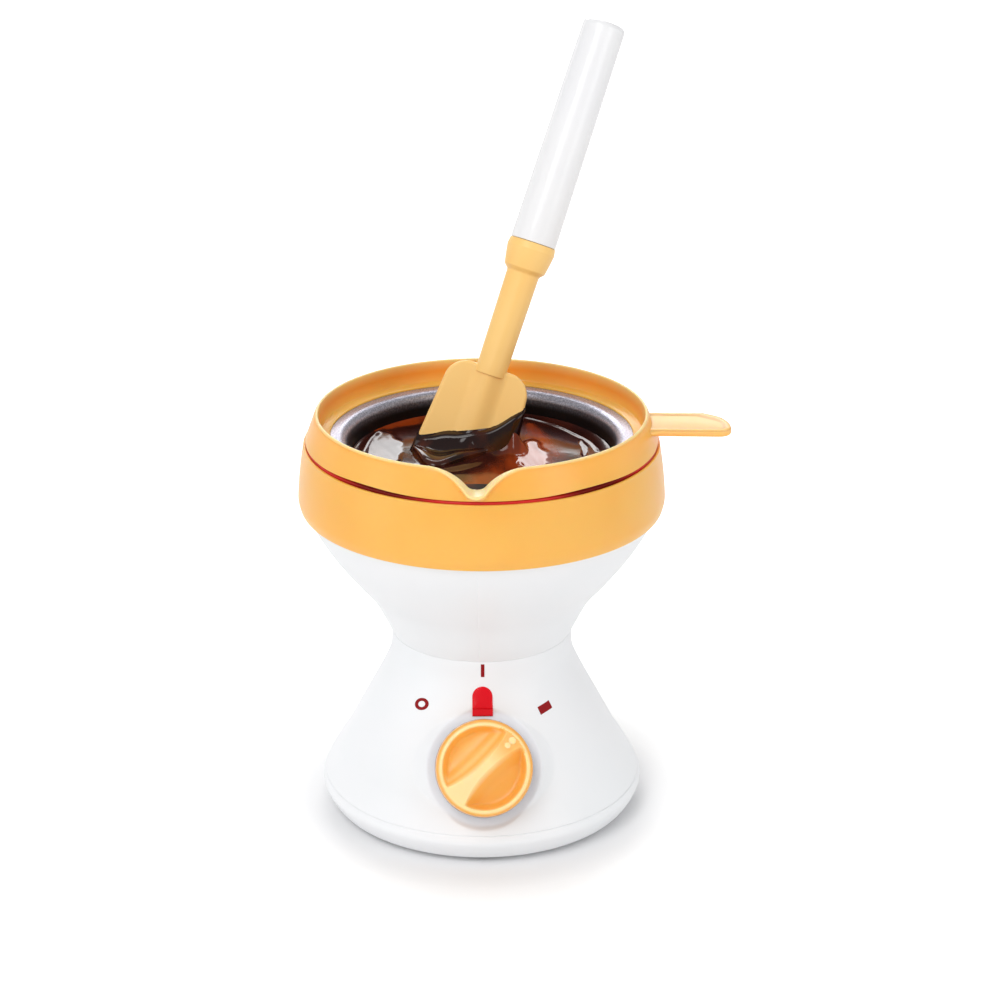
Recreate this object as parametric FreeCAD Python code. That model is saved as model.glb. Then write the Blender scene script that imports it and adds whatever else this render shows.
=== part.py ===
import FreeCAD, Part
import math
import os

from FreeCAD import Placement, Rotation, Vector

# A small electric chocolate fondue pot with its spatula. Millimetres and degrees.
# The pot's axis is Z, the standing plane is z = 0, the control knob faces -Y and the
# pot's handle tab points to +X.

# Base: a white bell that stands on a shallow bottom cover
seam_z = 14.0
seam_radius = 66.3
# how far each ring of the bell stands inside the seam, and its height over it
bell_insets = [(1.9, 4.0), (5.3, 10.0), (9.1, 16.0), (16.9, 31.0), (24.7, 46.0), (28.3, 55.0)]
bell_points = [(seam_radius - step_in, seam_z + rise) for step_in, rise in bell_insets]
neck_taper = 0.6
neck_height = 9.0
neck_radius = bell_points[-1][0] - neck_taper
neck_top_z = bell_points[-1][1] + neck_height
shoulder_round = 2.0
wall = 2.4
cover_bottom_z = 1.5
cover_bottom_inset = 5.8
cover_low_inset = 2.4
cover_swell = 1.0
cover_bottom_radius = seam_radius - cover_bottom_inset
cover_low_z = 3.6
cover_low_radius = seam_radius - cover_low_inset
cover_swell_drop = 4.0
cover_wide_z = seam_z - cover_swell_drop
cover_wide_radius = seam_radius + cover_swell
cover_floor = 2.5
tongue_height = 2.5
tongue_width = 1.7
slip = 0.2                      # clearance between parts that slide together by hand
contact = 0.05                  # clearance between parts that touch

# Screws: heads, shanks and the bosses that take them
screw_head_radius = 2.9
screw_head_height = 2.0
screw_radius = 1.45
screw_hole_radius = 1.7
pilot_radius = 1.5
boss_radius = 4.0
cover_screw_inset = 8.5         # from the edge of the cover's floor
cover_screw_circle = cover_bottom_radius - cover_screw_inset
cover_screw_length = 12.0
cover_boss_top_z = 7.0
waist_screw_inset = 12.4        # from the neck's skin
waist_screw_circle = neck_radius - waist_screw_inset
waist_screw_length = 11.0
waist_boss_height = 9.0
collar_screw_length = 11.0
well_screw_length = 8.0

# Rubber feet
foot_inset = 8.5
foot_circle = cover_bottom_radius - foot_inset
foot_radius = 6.5
foot_pocket = 1.0
foot_stem_radius = 2.2
foot_head_radius = 3.1
foot_head_height = 1.4

# Cord outlet at the back of the bell
outlet_z = 27.5
outlet_inset = 5.8              # of the outlet's face from the seam
outlet_face_y = seam_radius - outlet_inset
outlet_boss_radius = 9.8
outlet_boss_depth = 8.5
outlet_pocket_radius = 8.2
gland_flange_radius = 7.5
gland_flange = 3.0
gland_neck_radius = 5.0
gland_lip_radius = 6.2
gland_lip = 1.5
gland_bore_radius = 3.2

# Control panel: the knob's round pad on the slope of the bell
panel_lean = 27.5               # the pad's normal rises this much above the horizontal
panel_z = 38.1
pad_radius = 23.4
pad_recess = 1.0
pad_flare = 40.0
pad_depth = 8.0

# Rotary switch behind the pad
switch_size = 24.0
switch_depth = 15.0
switch_neck_radius = 4.5
switch_neck_height = 3.2        # in front of the pad
nut_flats = 12.0
nut_height = 2.2
shaft_radius = 3.0
shaft_in_switch = 11.0
shaft_clearance = 0.05
shaft_flat = 0.6

# Control knob
knob_radius = 19.9
knob_face_radius = 19.3
knob_height = 14.5
knob_gap = 0.4                  # between the knob's skirt and the pad
knob_wall = 2.0
knob_rest_turn = 46.0           # clockwise from the top, at the full block mark
knob_rim = 1.4
knob_dish_depth = 5.8
knob_grip_half = 1.6            # half the grip bar's width at its waist
knob_grip_end_half = 4.4        # and at its ends
knob_bar_draft = 3.8            # how far the bar's flanks slope out down to the hollows' floor
knob_rim_draft = 1.8
knob_cap = 4.0                  # over the shaft's end
knob_hub_radius = 5.2
knob_round = 1.0
pointer_radius = 1.3
pointer_circle = 14.2

# Pilot lamp above the knob, with a red lens
lens_width = 8.3
lens_bottom = 21.0              # from the knob's centre, up the panel
lens_top = 33.0
lens_proud = 0.5
lens_flange = 1.2
lens_clearance = 0.12
lens_depth = 4.0                # from the panel's surface to the lens's flange
lamp_radius = 2.5
lamp_length = 8.0
lamp_holder_length = 7.0
lamp_lead_radius = 0.35
lamp_lead_length = 6.0

# Terminal block on the bottom cover
block_length = 30.0
block_width = 16.0
block_height = 12.0
block_y = 30.0

# Waist groove and upper housing
groove_depth = 2.4
groove_height = 0.8
groove_radius = neck_radius - groove_depth
groove_top_z = neck_top_z + groove_height
housing_height = 55.5
housing_top_z = neck_top_z + housing_height
housing_top_radius = 72.3
# how far each ring of the housing stands inside its top edge, and its depth under it
housing_insets = [(26.8, 39.5), (18.7, 29.5), (11.0, 19.5), (4.6, 9.5)]
bowl_housing_points = [
    (housing_top_radius - step_in, housing_top_z - drop) for step_in, drop in housing_insets
]
housing_low_step = 0.9
bowl_housing_low_radius = neck_radius - housing_low_step
spigot_height = 4.0
wire_hole_radius = 14.0
housing_flange = 2.4

# Heater collar: its socket goes over the housing's spigot
socket_wall = 1.6
collar_swell = 0.9
collar_swell_height = 4.5
collar_bottom_radius = housing_top_radius + slip + socket_wall
collar_max_radius = collar_bottom_radius + collar_swell
collar_max_z = housing_top_z + collar_swell_height
collar_bulge = 0.35
collar_height = 22.0            # over its widest ring
collar_taper = 2.5
collar_top_z = collar_max_z + collar_height
collar_top_radius = collar_max_radius - collar_taper
collar_lip = 1.1
collar_round = 0.5
seal_seat_drop = 2.0
seal_seat_width = 4.2
well_seat_drop = 4.0
seal_seat_z = collar_top_z - seal_seat_drop
web_inner_radius = collar_top_radius - collar_lip - seal_seat_width
web_wall = 2.0
well_seat_z = seal_seat_z - well_seat_drop
collar_screw_inset = 3.2        # from the web
collar_screw_circle = web_inner_radius - collar_screw_inset
ledge_land = 3.4                # inside the screws' circle
ledge_inner_radius = collar_screw_circle - ledge_land
housing_flange_radius = collar_screw_circle - boss_radius
ledge = 2.2
collar_wall = 2.3
seal_height = 3.0
seal_width = 3.8
seal_round = 0.7

# Cooking bowl: opening, wall and floor
guide_gap = 0.4                 # between the rim's guide ring and the web
guide_wall = 2.2
bowl_flange_width = 9.9
bowl_draft = 3.0
bowl_stand = 2.9                # of the flange over the collar
bowl_depth = 36.9
rim_guide_radius = web_inner_radius - guide_gap
bowl_flange_radius = rim_guide_radius - guide_wall - slip
bowl_flange_z = collar_top_z + bowl_stand
bowl_sheet = 1.4
bowl_shoulder_radius = 4.0
bowl_opening_radius = bowl_flange_radius - bowl_flange_width
bowl_low_radius = bowl_opening_radius - bowl_draft
bowl_corner_radius = 14.0
bowl_floor_z = bowl_flange_z - bowl_depth

# Heater well under the bowl
well_gap = 1.0
well_sheet = 1.5
well_flange_radius = web_inner_radius - slip
well_corner = 2.0

# Heating element and shield under the well
stud_circle = 18.0
element_step = 12.0             # outwards from the studs
element_circle = stud_circle + element_step
element_radius = 3.25
element_gap_half = 24.0         # half the angle left open at the back
element_leg = 16.0
element_bend = 7.0
shield_step = 14.0
shield_radius = element_circle + shield_step
shield_sheet = 0.8
shield_drop = 12.9              # from the well's underside to the shield's top
shield_rim = 7.0
stud_radius = 1.5
stud_end = 4.0
spacer_radius = 4.0
hex_nut_flats = 5.5
hex_nut_height = 2.4
thermostat_radius = 8.2
thermostat_base_radius = 6.5
thermostat_base = 6.0
spade_length = 6.0
fuse_radius = 2.2
fuse_length = 14.0
fuse_inset = 7.0                # from the shield's edge
fuse_y = fuse_inset - shield_radius
clip_sheet = 0.8
clip_width = 6.0
clip_foot = 6.0

# Pot rim: ring, pouring spout and handle tab
rim_step_in = 0.9               # of its foot from the collar's top edge
rim_lean = 4.1
rim_edge = 1.3
rim_draft = 0.6
rim_ledge_width = 4.1
rim_ledge_sheet = 1.0           # over the bowl's flange
rim_height = 9.1                # over the ledge
rim_gap = 1.3                   # between the collar's top edge and the rim's foot
rim_bottom_z = collar_top_z + rim_gap
rim_bottom_radius = collar_top_radius - rim_step_in
rim_outer_radius = rim_bottom_radius - rim_lean
rim_inner_radius = rim_outer_radius - rim_edge
rim_skirt = 2.0
rim_ledge_z = bowl_flange_z + rim_ledge_sheet
rim_top_z = rim_ledge_z + rim_height
rim_ledge_outer_radius = rim_inner_radius - rim_draft
rim_ledge_radius = rim_ledge_outer_radius - rim_ledge_width
rim_guide_stand = 0.8           # of the guide ring over the seal's seat
rim_guide_z = seal_seat_z + rim_guide_stand
clamp_height = 2.1
clamp_width = 5.0
pot_turn = -2.7                 # how far the spout stands from -Y, clockwise seen from above
spout_half_width = 19.5
spout_bottom_round = 5.0
lip_width = 2.2                 # of the swollen edge along the spout, seen from the front
lip_swell = 2.3                 # how far it stands out from the rim at its foot
lip_top_swell = 0.3             # and at the rim's top
lip_reach = rim_bottom_radius + lip_swell
lip_top_reach = rim_outer_radius + lip_top_swell
spout_sill_half = 7.0           # half the width where the ledge leaves the bowl's flange open
tab_length = 33.3
tab_reach = rim_outer_radius + tab_length
tab_width = 21.2
tab_drop = 3.8
tab_top_z = rim_top_z - tab_drop
tab_thickness = 3.0
tab_corner = 5.0                # the near corner of the tab's end
tab_sweep_length = 10.3         # of the far edge's long sweep
tab_sweep_x = tab_reach - tab_sweep_length
tab_sweep = 2.5                 # how far the sweep's middle stays behind the tab's reach
tab_sweep_y = 3.2
tab_sunk = 0.3                  # of its root in the rim
tab_root = rim_outer_radius - tab_sunk
tab_dish = 0.5
tab_border = 2.6

# Melted chocolate in the bowl
chocolate_drop = 9.9            # of its surface under the bowl's flange
chocolate_z = bowl_flange_z - chocolate_drop
chocolate_gap = 0.15

# Spatula: its line passes through (spatula_x, spatula_y) at the chocolate's surface
spatula_x = -6.75
spatula_y = 7.79
spatula_tilt = 25.0             # from the vertical
spatula_azimuth = 41.25         # of the direction it leans to
spatula_turn = -47.0            # about its own axis
spatula_depth = 17.0            # of its tip below the chocolate's surface, along its axis
blade_length = 52.6
blade_tip_half = 21.25
blade_top_half = 17.7
blade_tip_corner = 8.0
blade_top_corner = 9.5
blade_tip_thickness = 1.6
blade_top_thickness = 4.2
spine_half_width = 6.4
spine_top_half = 5.4
spine_tip_half = 1.6
spine_end = 8.0                 # the spine runs out this far above the tip
tongue_radius = 2.6
tongue_length = 20.0
neck_low_radius = 6.2
neck_high_radius = 6.8
neck_length = 41.0
ferrule_radius = 10.0
ferrule_length = 12.5
ferrule_top_radius = 9.5
handle_length = 93.5
handle_top_radius = 8.7
handle_round = 2.6
tang_radius = 4.8
tang_length = 40.0
pocket_gap = 0.6


def vec(x=0.0, y=0.0, z=0.0):
    return Vector(x, y, z)


def flat(r, z):
    """A point of a turned profile, in the XZ plane."""
    return Vector(r, 0, z)


def profile_edges(start, steps, place=flat):
    """Edges from start through steps: (a, b) is a line, ("arc", middle, end) and ("smooth", points)."""
    edges = []
    here = start
    for step in steps:
        if step[0] == "arc":
            edges.append(Part.Arc(place(*here), place(*step[1]), place(*step[2])).toShape())
            here = step[2]
        elif step[0] == "smooth":
            curve = Part.BSplineCurve()
            curve.interpolate([place(*here)] + [place(*p) for p in step[1]])
            edges.append(curve.toShape())
            here = step[1][-1]
        else:
            edges.append(Part.makeLine(place(*here), place(*step)))
            here = step
    if place(*here).distanceToPoint(place(*start)) > 1e-6:
        edges.append(Part.makeLine(place(*here), place(*start)))
    return edges


def face_of(start, steps, place=flat):
    return Part.Face(Part.Wire(profile_edges(start, steps, place)))


def turned(start, *steps):
    """A solid turned about Z from a closed profile."""
    return face_of(start, steps).revolve(vec(), vec(z=1), 360)


def inset(points, depth):
    """The points of a profile moved towards the axis along the profile's own normals."""
    moved = []
    for i, (r, z) in enumerate(points):
        r0, z0 = points[max(i - 1, 0)]
        r1, z1 = points[min(i + 1, len(points) - 1)]
        length = math.hypot(r1 - r0, z1 - z0)
        moved.append((r - depth * (z1 - z0) / length, z + depth * (r1 - r0) / length))
    return moved


def radius_at(points, z):
    """The radius of a profile at a height, by straight lines between its points."""
    for (r0, z0), (r1, z1) in zip(points, points[1:]):
        if z0 <= z <= z1:
            return r0 + (r1 - r0) * (z - z0) / (z1 - z0)
    return points[0][0] if z < points[0][1] else points[-1][0]


def cylinder(radius, z0, z1, x=0.0, y=0.0):
    return Part.makeCylinder(radius, z1 - z0, vec(x, y, z0))


def tube(outer, inner, z0, z1, x=0.0, y=0.0):
    return cylinder(outer, z0, z1, x, y).cut(cylinder(inner, z0 - 1, z1 + 1, x, y))


def box(x0, x1, y0, y1, z0, z1):
    return Part.makeBox(x1 - x0, y1 - y0, z1 - z0, vec(x0, y0, z0))


def along_y(radius, y0, y1, x=0.0, z=0.0):
    return Part.makeCylinder(radius, y1 - y0, vec(x, y0, z), vec(y=1))


def hexagon(flats, z0, z1, x=0.0, y=0.0):
    corner = flats / math.sqrt(3)
    points = [
        vec(x + corner * math.cos(math.radians(60 * i)), y + corner * math.sin(math.radians(60 * i)), z0)
        for i in range(7)
    ]
    return Part.Face(Part.makePolygon(points)).extrude(vec(z=z1 - z0))


def around(circle, count, first_angle):
    """Points evenly spaced on a circle about Z."""
    angles = [math.radians(first_angle + 360.0 * i / count) for i in range(count)]
    return [(circle * math.cos(a), circle * math.sin(a)) for a in angles]


def screw(x, y, seat_z, length, up=True):
    """A pan-head screw with its head under seat_z and its shank upwards, or the other way up."""
    sign = 1 if up else -1
    head = cylinder(screw_head_radius, 0, screw_head_height)
    head = head.makeFillet(0.6, [head.Edges[2]])
    slot = box(-0.4, 0.4, -screw_head_radius, screw_head_radius, -0.1, 0.7)
    head = head.cut(slot)
    shank = cylinder(screw_radius, screw_head_height, screw_head_height + length)
    body = head.fuse(shank).removeSplitter()
    if not up:
        body.rotate(vec(), vec(x=1), 180)
    body.translate(vec(x, y, seat_z - sign * screw_head_height))
    return body


def group(solids):
    return Part.makeCompound(solids)


def fused(first, *others):
    return first.multiFuse(list(others)).removeSplitter()


def on_panel(shape):
    """Move a shape from the panel's own axes (x right, y up the slope, z out) to its place."""
    shape = shape.copy()
    shape.Placement = panel_place.multiply(shape.Placement)
    return shape


def on_spatula(shape):
    """Move a shape from the spatula's own axes (z up from the tip, x across the blade) to its place."""
    shape = shape.copy()
    shape.Placement = spatula_place.multiply(shape.Placement)
    return shape


# Profiles that several pieces share
bell = [(seam_radius, seam_z)] + bell_points + [(neck_radius, neck_top_z - shoulder_round)]
bell_inside = inset(bell, wall)
upper = [(bowl_housing_low_radius, groove_top_z)] + bowl_housing_points
upper = upper + [(housing_top_radius, housing_top_z)]
upper_inside = inset(upper, wall)

panel_radius = radius_at(bell, panel_z)
panel_place = Placement(vec(0, -panel_radius, panel_z), Rotation(vec(x=1), 90 - panel_lean))
pad_z = -pad_recess             # height of the pad in the panel's own axes
pad_inside_z = pad_z - wall

lean = math.radians(spatula_tilt)
turn = math.radians(spatula_azimuth)
spatula_axis = vec(math.sin(lean) * math.cos(turn), math.sin(lean) * math.sin(turn), math.cos(lean))
spatula_tip = vec(spatula_x, spatula_y, chocolate_z) - spatula_axis * spatula_depth
spatula_place = Placement(
    spatula_tip,
    Rotation(vec(z=1), spatula_azimuth)
    .multiply(Rotation(vec(y=1), spatula_tilt))
    .multiply(Rotation(vec(z=1), spatula_turn)),
)

cover_screw_points = around(cover_screw_circle, 4, 45)
foot_points = around(foot_circle, 4, 0)
waist_screw_points = around(waist_screw_circle, 3, 90)
collar_screw_points = around(collar_screw_circle, 4, 45)
stud_points = around(stud_circle, 3, 30)

cover_floor_z = cover_bottom_z + cover_floor
plate_z = neck_top_z - wall     # underside of the bell's top plate
housing_flange_z = housing_top_z - housing_flange
well_floor_z = bowl_floor_z - bowl_sheet - well_gap - well_sheet
shield_z = well_floor_z - shield_drop


def bell_solid(points, top_z, round_radius):
    """The bell as a solid body up to its rounded shoulder."""
    last = points[-1]
    steps = [("smooth", points[1:])]
    if round_radius:
        mid = round_radius * (1 - math.sqrt(0.5))
        corner = (last[0] - mid, top_z - mid)
        steps.append(("arc", corner, (last[0] - round_radius, top_z)))
    else:
        steps.append((last[0], top_z))
    steps.append((0, top_z))
    steps.append((0, points[0][1]))
    return turned(points[0], *steps)


def base_housing():
    outer = bell_solid(bell, neck_top_z, shoulder_round)
    inside = [(bell_inside[0][0], seam_z - 1.0)] + bell_inside
    cavity = bell_solid([inside[0]] + inside[2:], plate_z, 0)

    # Round pad for the knob: sunk at its top and foot, standing proud at its sides
    spread = pad_depth * math.tan(math.radians(pad_flare))
    pad = Part.makeCone(pad_radius + spread, pad_radius, pad_depth, vec(z=pad_z - pad_depth))
    above_pad = Part.makeCone(pad_radius, pad_radius + 8.0, 8.0, vec(z=pad_z))
    hollow_low = vec(z=pad_inside_z - pad_depth)
    hollow = Part.makeCone(pad_radius + spread - wall, pad_radius - wall, pad_depth, hollow_low)
    below = cylinder(2 * seam_radius, 0, seam_z + tongue_height + 0.5)
    outer = outer.cut(on_panel(above_pad)).fuse(on_panel(pad).cut(below))
    inner_front = cylinder(pad_radius, pad_inside_z, pad_inside_z + 12.0)
    cavity = cavity.cut(on_panel(inner_front).cut(below)).fuse(on_panel(hollow))

    # Boss of the cord outlet, flush with the slope at its foot
    outlet = along_y(outlet_boss_radius, outlet_face_y - outlet_boss_depth, outlet_face_y, z=outlet_z)
    outlet_ring = along_y(outlet_boss_radius, outlet_face_y, outlet_face_y + 12.0, z=outlet_z).common(outer)
    outlet_pocket = along_y(outlet_pocket_radius, outlet_face_y, outlet_face_y + 14.0, z=outlet_z)
    outlet_hole = along_y(gland_neck_radius + contact, outlet_face_y - 20.0, outlet_face_y + 1.0, z=outlet_z)

    # Bosses for the cover's screws, from the cover's own bosses up to the slope
    boss_low = cover_boss_top_z + contact
    bosses = [cylinder(boss_radius, boss_low, neck_top_z, x, y) for x, y in cover_screw_points]
    bosses = group(bosses).common(outer.fuse(cylinder(cover_screw_circle + boss_radius + 1, 0, seam_z)))

    shell = outer.cut(cavity)
    shell = shell.multiFuse([outlet, outlet_ring] + bosses.Solids)
    holes = [outlet_pocket, outlet_hole, cylinder(wire_hole_radius, plate_z - 1, neck_top_z + 1)]
    holes.append(on_panel(cylinder(switch_neck_radius + slip, pad_inside_z - 1, pad_z + 1)))
    holes.append(on_panel(lens_outline(lens_clearance, -lens_depth - 2.0, lens_proud + 2.0)))
    pilot_top = cover_boss_top_z + cover_screw_length
    holes += [cylinder(pilot_radius, cover_boss_top_z - 1, pilot_top, x, y) for x, y in cover_screw_points]
    holes += [cylinder(screw_hole_radius, plate_z - 1, neck_top_z + 1, x, y) for x, y in waist_screw_points]
    return shell.cut(group(holes)).removeSplitter()


def lens_outline(grow, z0, z1):
    """The lens's outline, a rectangle with a round top, as a solid between two heights."""
    half = lens_width / 2
    centre = lens_top - half
    place = lambda x, y: vec(x, y, z0)
    steps = [
        (half + grow, lens_bottom - grow),
        (half + grow, centre),
        ("arc", (0, lens_top + grow), (-half - grow, centre)),
    ]
    return face_of((-half - grow, lens_bottom - grow), steps, place).extrude(vec(z=z1 - z0))


def base_cover():
    side = [
        (cover_bottom_radius, cover_bottom_z),
        (cover_low_radius, cover_low_z),
        (cover_wide_radius, cover_wide_z),
        (seam_radius, seam_z),
    ]
    inside = inset(side, wall)
    body = turned(side[0], ("smooth", side[1:]), (0, seam_z), (0, cover_bottom_z))
    inner_start = (radius_at(inside, cover_floor_z), cover_floor_z)
    inner_points = [p for p in inside if p[1] > cover_floor_z + 0.5][:-1]
    inner_points.append((seam_radius - wall, seam_z))
    body = body.cut(turned(inner_start, ("smooth", inner_points), (0, seam_z), (0, cover_floor_z)))

    # Tongue that centres the bell on the cover
    tongue_outer = radius_at(bell_inside, seam_z + tongue_height) - slip
    tongue_inner = tongue_outer - tongue_width
    step = tube(seam_radius - wall / 2, tongue_inner, seam_z - tongue_width, seam_z)
    tongue = tube(tongue_outer, tongue_inner, seam_z - tongue_width, seam_z + tongue_height)
    body = body.multiFuse([step, tongue])

    # Bosses and sunk seats for the screws, pockets for the feet
    bosses = []
    for x, y in cover_screw_points:
        bosses.append(cylinder(boss_radius + 1, cover_bottom_z, cover_boss_top_z, x, y))
    post_half = block_length / 2 - 3
    post = box(-post_half, post_half, block_y - 2, block_y + 2, cover_floor_z - 1, cover_floor_z + 1)
    body = body.multiFuse(bosses + [post])
    seat_z = cover_bottom_z + screw_head_height + 0.8
    holes = [cylinder(screw_head_radius + slip, 0, seat_z, x, y) for x, y in cover_screw_points]
    holes += [cylinder(screw_hole_radius, 0, cover_boss_top_z + 1, x, y) for x, y in cover_screw_points]
    pocket_z = cover_bottom_z + foot_pocket
    holes += [cylinder(foot_radius + contact, 0, pocket_z, x, y) for x, y in foot_points]
    holes += [cylinder(foot_stem_radius + contact, 0, cover_floor_z + 1, x, y) for x, y in foot_points]
    return body.cut(group(holes)).removeSplitter()


def rubber_feet():
    pocket_z = cover_bottom_z + foot_pocket - contact
    feet = []
    for x, y in foot_points:
        foot = turned(
            (0, 0),
            (foot_radius - 0.8, 0),
            ("arc", (foot_radius - 0.23, 0.23), (foot_radius, 0.8)),
            (foot_radius, pocket_z),
            (foot_stem_radius, pocket_z),
            (foot_stem_radius, cover_floor_z + contact),
            (foot_head_radius, cover_floor_z + contact),
            (foot_stem_radius - 0.6, cover_floor_z + contact + foot_head_height),
            (0, cover_floor_z + contact + foot_head_height),
        )
        foot.translate(vec(x, y, 0))
        feet.append(foot)
    return group(feet)


def cover_screws():
    seat_z = cover_bottom_z + screw_head_height + 0.8 - contact
    length = cover_boss_top_z - seat_z + cover_screw_length - 1.0
    return group([screw(x, y, seat_z, length) for x, y in cover_screw_points])


def waist_screws():
    length = waist_screw_length + wall
    return group([screw(x, y, plate_z - contact, length) for x, y in waist_screw_points])


def cord_gland():
    flange_y = outlet_face_y + contact
    lip_y = outlet_face_y - outlet_boss_depth - contact
    flange = along_y(gland_flange_radius, flange_y, flange_y + gland_flange, z=outlet_z)
    flange = flange.makeFillet(1.4, [e for e in flange.Edges if e.BoundBox.YMin > flange_y + 1][:1])
    neck = along_y(gland_neck_radius, lip_y, flange_y, z=outlet_z)
    lip = along_y(gland_lip_radius, lip_y - gland_lip, lip_y, z=outlet_z)
    bore = along_y(gland_bore_radius, lip_y - gland_lip - 1, flange_y + gland_flange + 1, z=outlet_z)
    return fused(flange, neck, lip).cut(bore)


def terminal_block():
    z0 = cover_floor_z + 1 + contact
    half = block_length / 2
    body = box(-half, half, block_y - block_width / 2, block_y + block_width / 2, z0, z0 + block_height)
    pitch = block_length / 3
    wells = []
    for i in (-1, 0, 1):
        for side in (-1, 1):
            y = block_y + side * block_width / 4
            wells.append(cylinder(2.1, z0 + block_height - 4, z0 + block_height + 1, i * pitch, y))
        wells.append(along_y(1.8, block_y - block_width, block_y + block_width, x=i * pitch, z=z0 + 4))
    return body.cut(group(wells))


def switch_body():
    half = switch_size / 2
    top = pad_inside_z - contact
    case = box(-half, half, -half, half, top - switch_depth, top)
    case = case.makeFillet(1.5, [e for e in case.Edges if abs(e.BoundBox.ZLength - switch_depth) < 0.01])
    neck = cylinder(switch_neck_radius, top, pad_z + switch_neck_height)
    low = top - switch_depth
    tabs = [box(x - 2.4, x + 2.4, -0.4, 0.4, low - 7, low) for x in (-7, 0, 7)]
    bore_low = top - shaft_in_switch - 0.6
    bore = cylinder(shaft_radius + shaft_clearance, bore_low, pad_z + switch_neck_height + 1)
    return on_panel(fused(case, neck, *tabs).cut(bore))


def switch_nut():
    low = pad_z + contact
    nut = hexagon(nut_flats, low, low + nut_height)
    return on_panel(nut.cut(cylinder(switch_neck_radius + contact, low - 1, low + nut_height + 1)))


def shaft_end_z():
    return pad_z + knob_gap + knob_height - knob_cap


def flatted_shaft(radius, z0, z1, flat_from):
    """A round shaft with a flat along one side from flat_from up."""
    rod = cylinder(radius, z0, z1)
    return rod.cut(box(-radius - 1, radius + 1, shaft_radius - shaft_flat, radius + 1, flat_from, z1 + 1))


def switch_shaft():
    low = pad_inside_z - shaft_in_switch
    flat_from = pad_z + switch_neck_height + 0.4
    body = flatted_shaft(shaft_radius, low, shaft_end_z(), flat_from)
    body.rotate(vec(), vec(z=1), -knob_rest_turn)
    return on_panel(body)


def knob_dish(side):
    """One of the two dished hollows beside the grip bar, as a tapered plug; x lies across the bar."""
    top_z = pad_z + knob_gap + knob_height
    sections = []
    for z, depth in ((top_z + 0.01, 0.0), (top_z - knob_dish_depth, 1.0)):
        outer = knob_face_radius - knob_rim - depth * knob_rim_draft
        waist = knob_grip_half + depth * knob_bar_draft
        end = knob_grip_end_half + depth * knob_bar_draft
        height = math.sqrt(outer ** 2 - end ** 2)
        low = vec(side * end, -height, z)
        high = vec(side * end, height, z)
        bar_side = Part.Arc(low, vec(side * waist, 0, z), high).toShape()
        round_side = Part.Arc(high, vec(side * outer, 0, z), low).toShape()
        sections.append(Part.Wire([bar_side, round_side]))
    return Part.makeLoft(sections, True, True)


def control_knob():
    low = pad_z + knob_gap
    top = low + knob_height
    corner = (knob_face_radius - 0.3 * knob_round, top - 0.3 * knob_round)
    body = turned(
        (0, low),
        (knob_radius, low),
        (knob_face_radius, top - knob_round),
        ("arc", corner, (knob_face_radius - knob_round, top)),
        (0, top),
    )
    hollow_height = knob_height - knob_dish_depth - knob_wall
    hollow_top = low + hollow_height
    skirt_radius = knob_radius - knob_wall
    hollow = Part.makeCone(skirt_radius, knob_face_radius - knob_wall, hollow_height, vec(z=low - 0.01))
    hub_low = pad_z + switch_neck_height + 0.8
    hub = cylinder(knob_hub_radius, hub_low, hollow_top + 1)
    body = body.cut(hollow).fuse(hub)
    for side in (-1, 1):
        body = body.cut(knob_dish(side))
    socket = flatted_shaft(shaft_radius + contact, hub_low - 1, shaft_end_z() + 0.3, hub_low - 1)
    body = body.cut(socket)
    pointer = Part.makeSphere(pointer_radius, vec(0, pointer_circle, top - 0.6))
    body = fused(body, pointer)
    body.rotate(vec(), vec(z=1), -knob_rest_turn)
    return on_panel(body)


def lamp_lens():
    body = lens_outline(0.0, -lens_depth - lens_flange, lens_proud)
    flange = lens_outline(1.4, -lens_depth - lens_flange, -lens_depth)
    # The strip that lies over the pad steps down with it
    step = box(-lens_width, lens_width, lens_bottom - 3, pad_radius + 0.4, pad_z + 0.5, lens_proud + 1)
    return on_panel(fused(body, flange).cut(step))


def lamp_centre_y():
    return (lens_bottom + lens_top) / 2


def lamp_holder():
    top = -lens_depth - lens_flange - contact
    half = lens_width / 2 + 1.4
    body = box(-half, half, lens_bottom - 1.4, lens_top + 0.6, top - lamp_holder_length, top)
    bore = cylinder(lamp_radius + contact, top - lamp_holder_length - 1, top + 1, 0, lamp_centre_y())
    return on_panel(body.cut(bore))


def indicator_lamp():
    top = -lens_depth - lens_flange - contact - 0.6
    y = lamp_centre_y()
    body = cylinder(lamp_radius, top - lamp_length, top - lamp_radius, 0, y)
    dome = Part.makeSphere(lamp_radius, vec(0, y, top - lamp_radius))
    low = top - lamp_length
    leads = [cylinder(lamp_lead_radius, low - lamp_lead_length, low + 1, x, y) for x in (-1.2, 1.2)]
    return on_panel(fused(body, dome, *leads))


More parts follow.
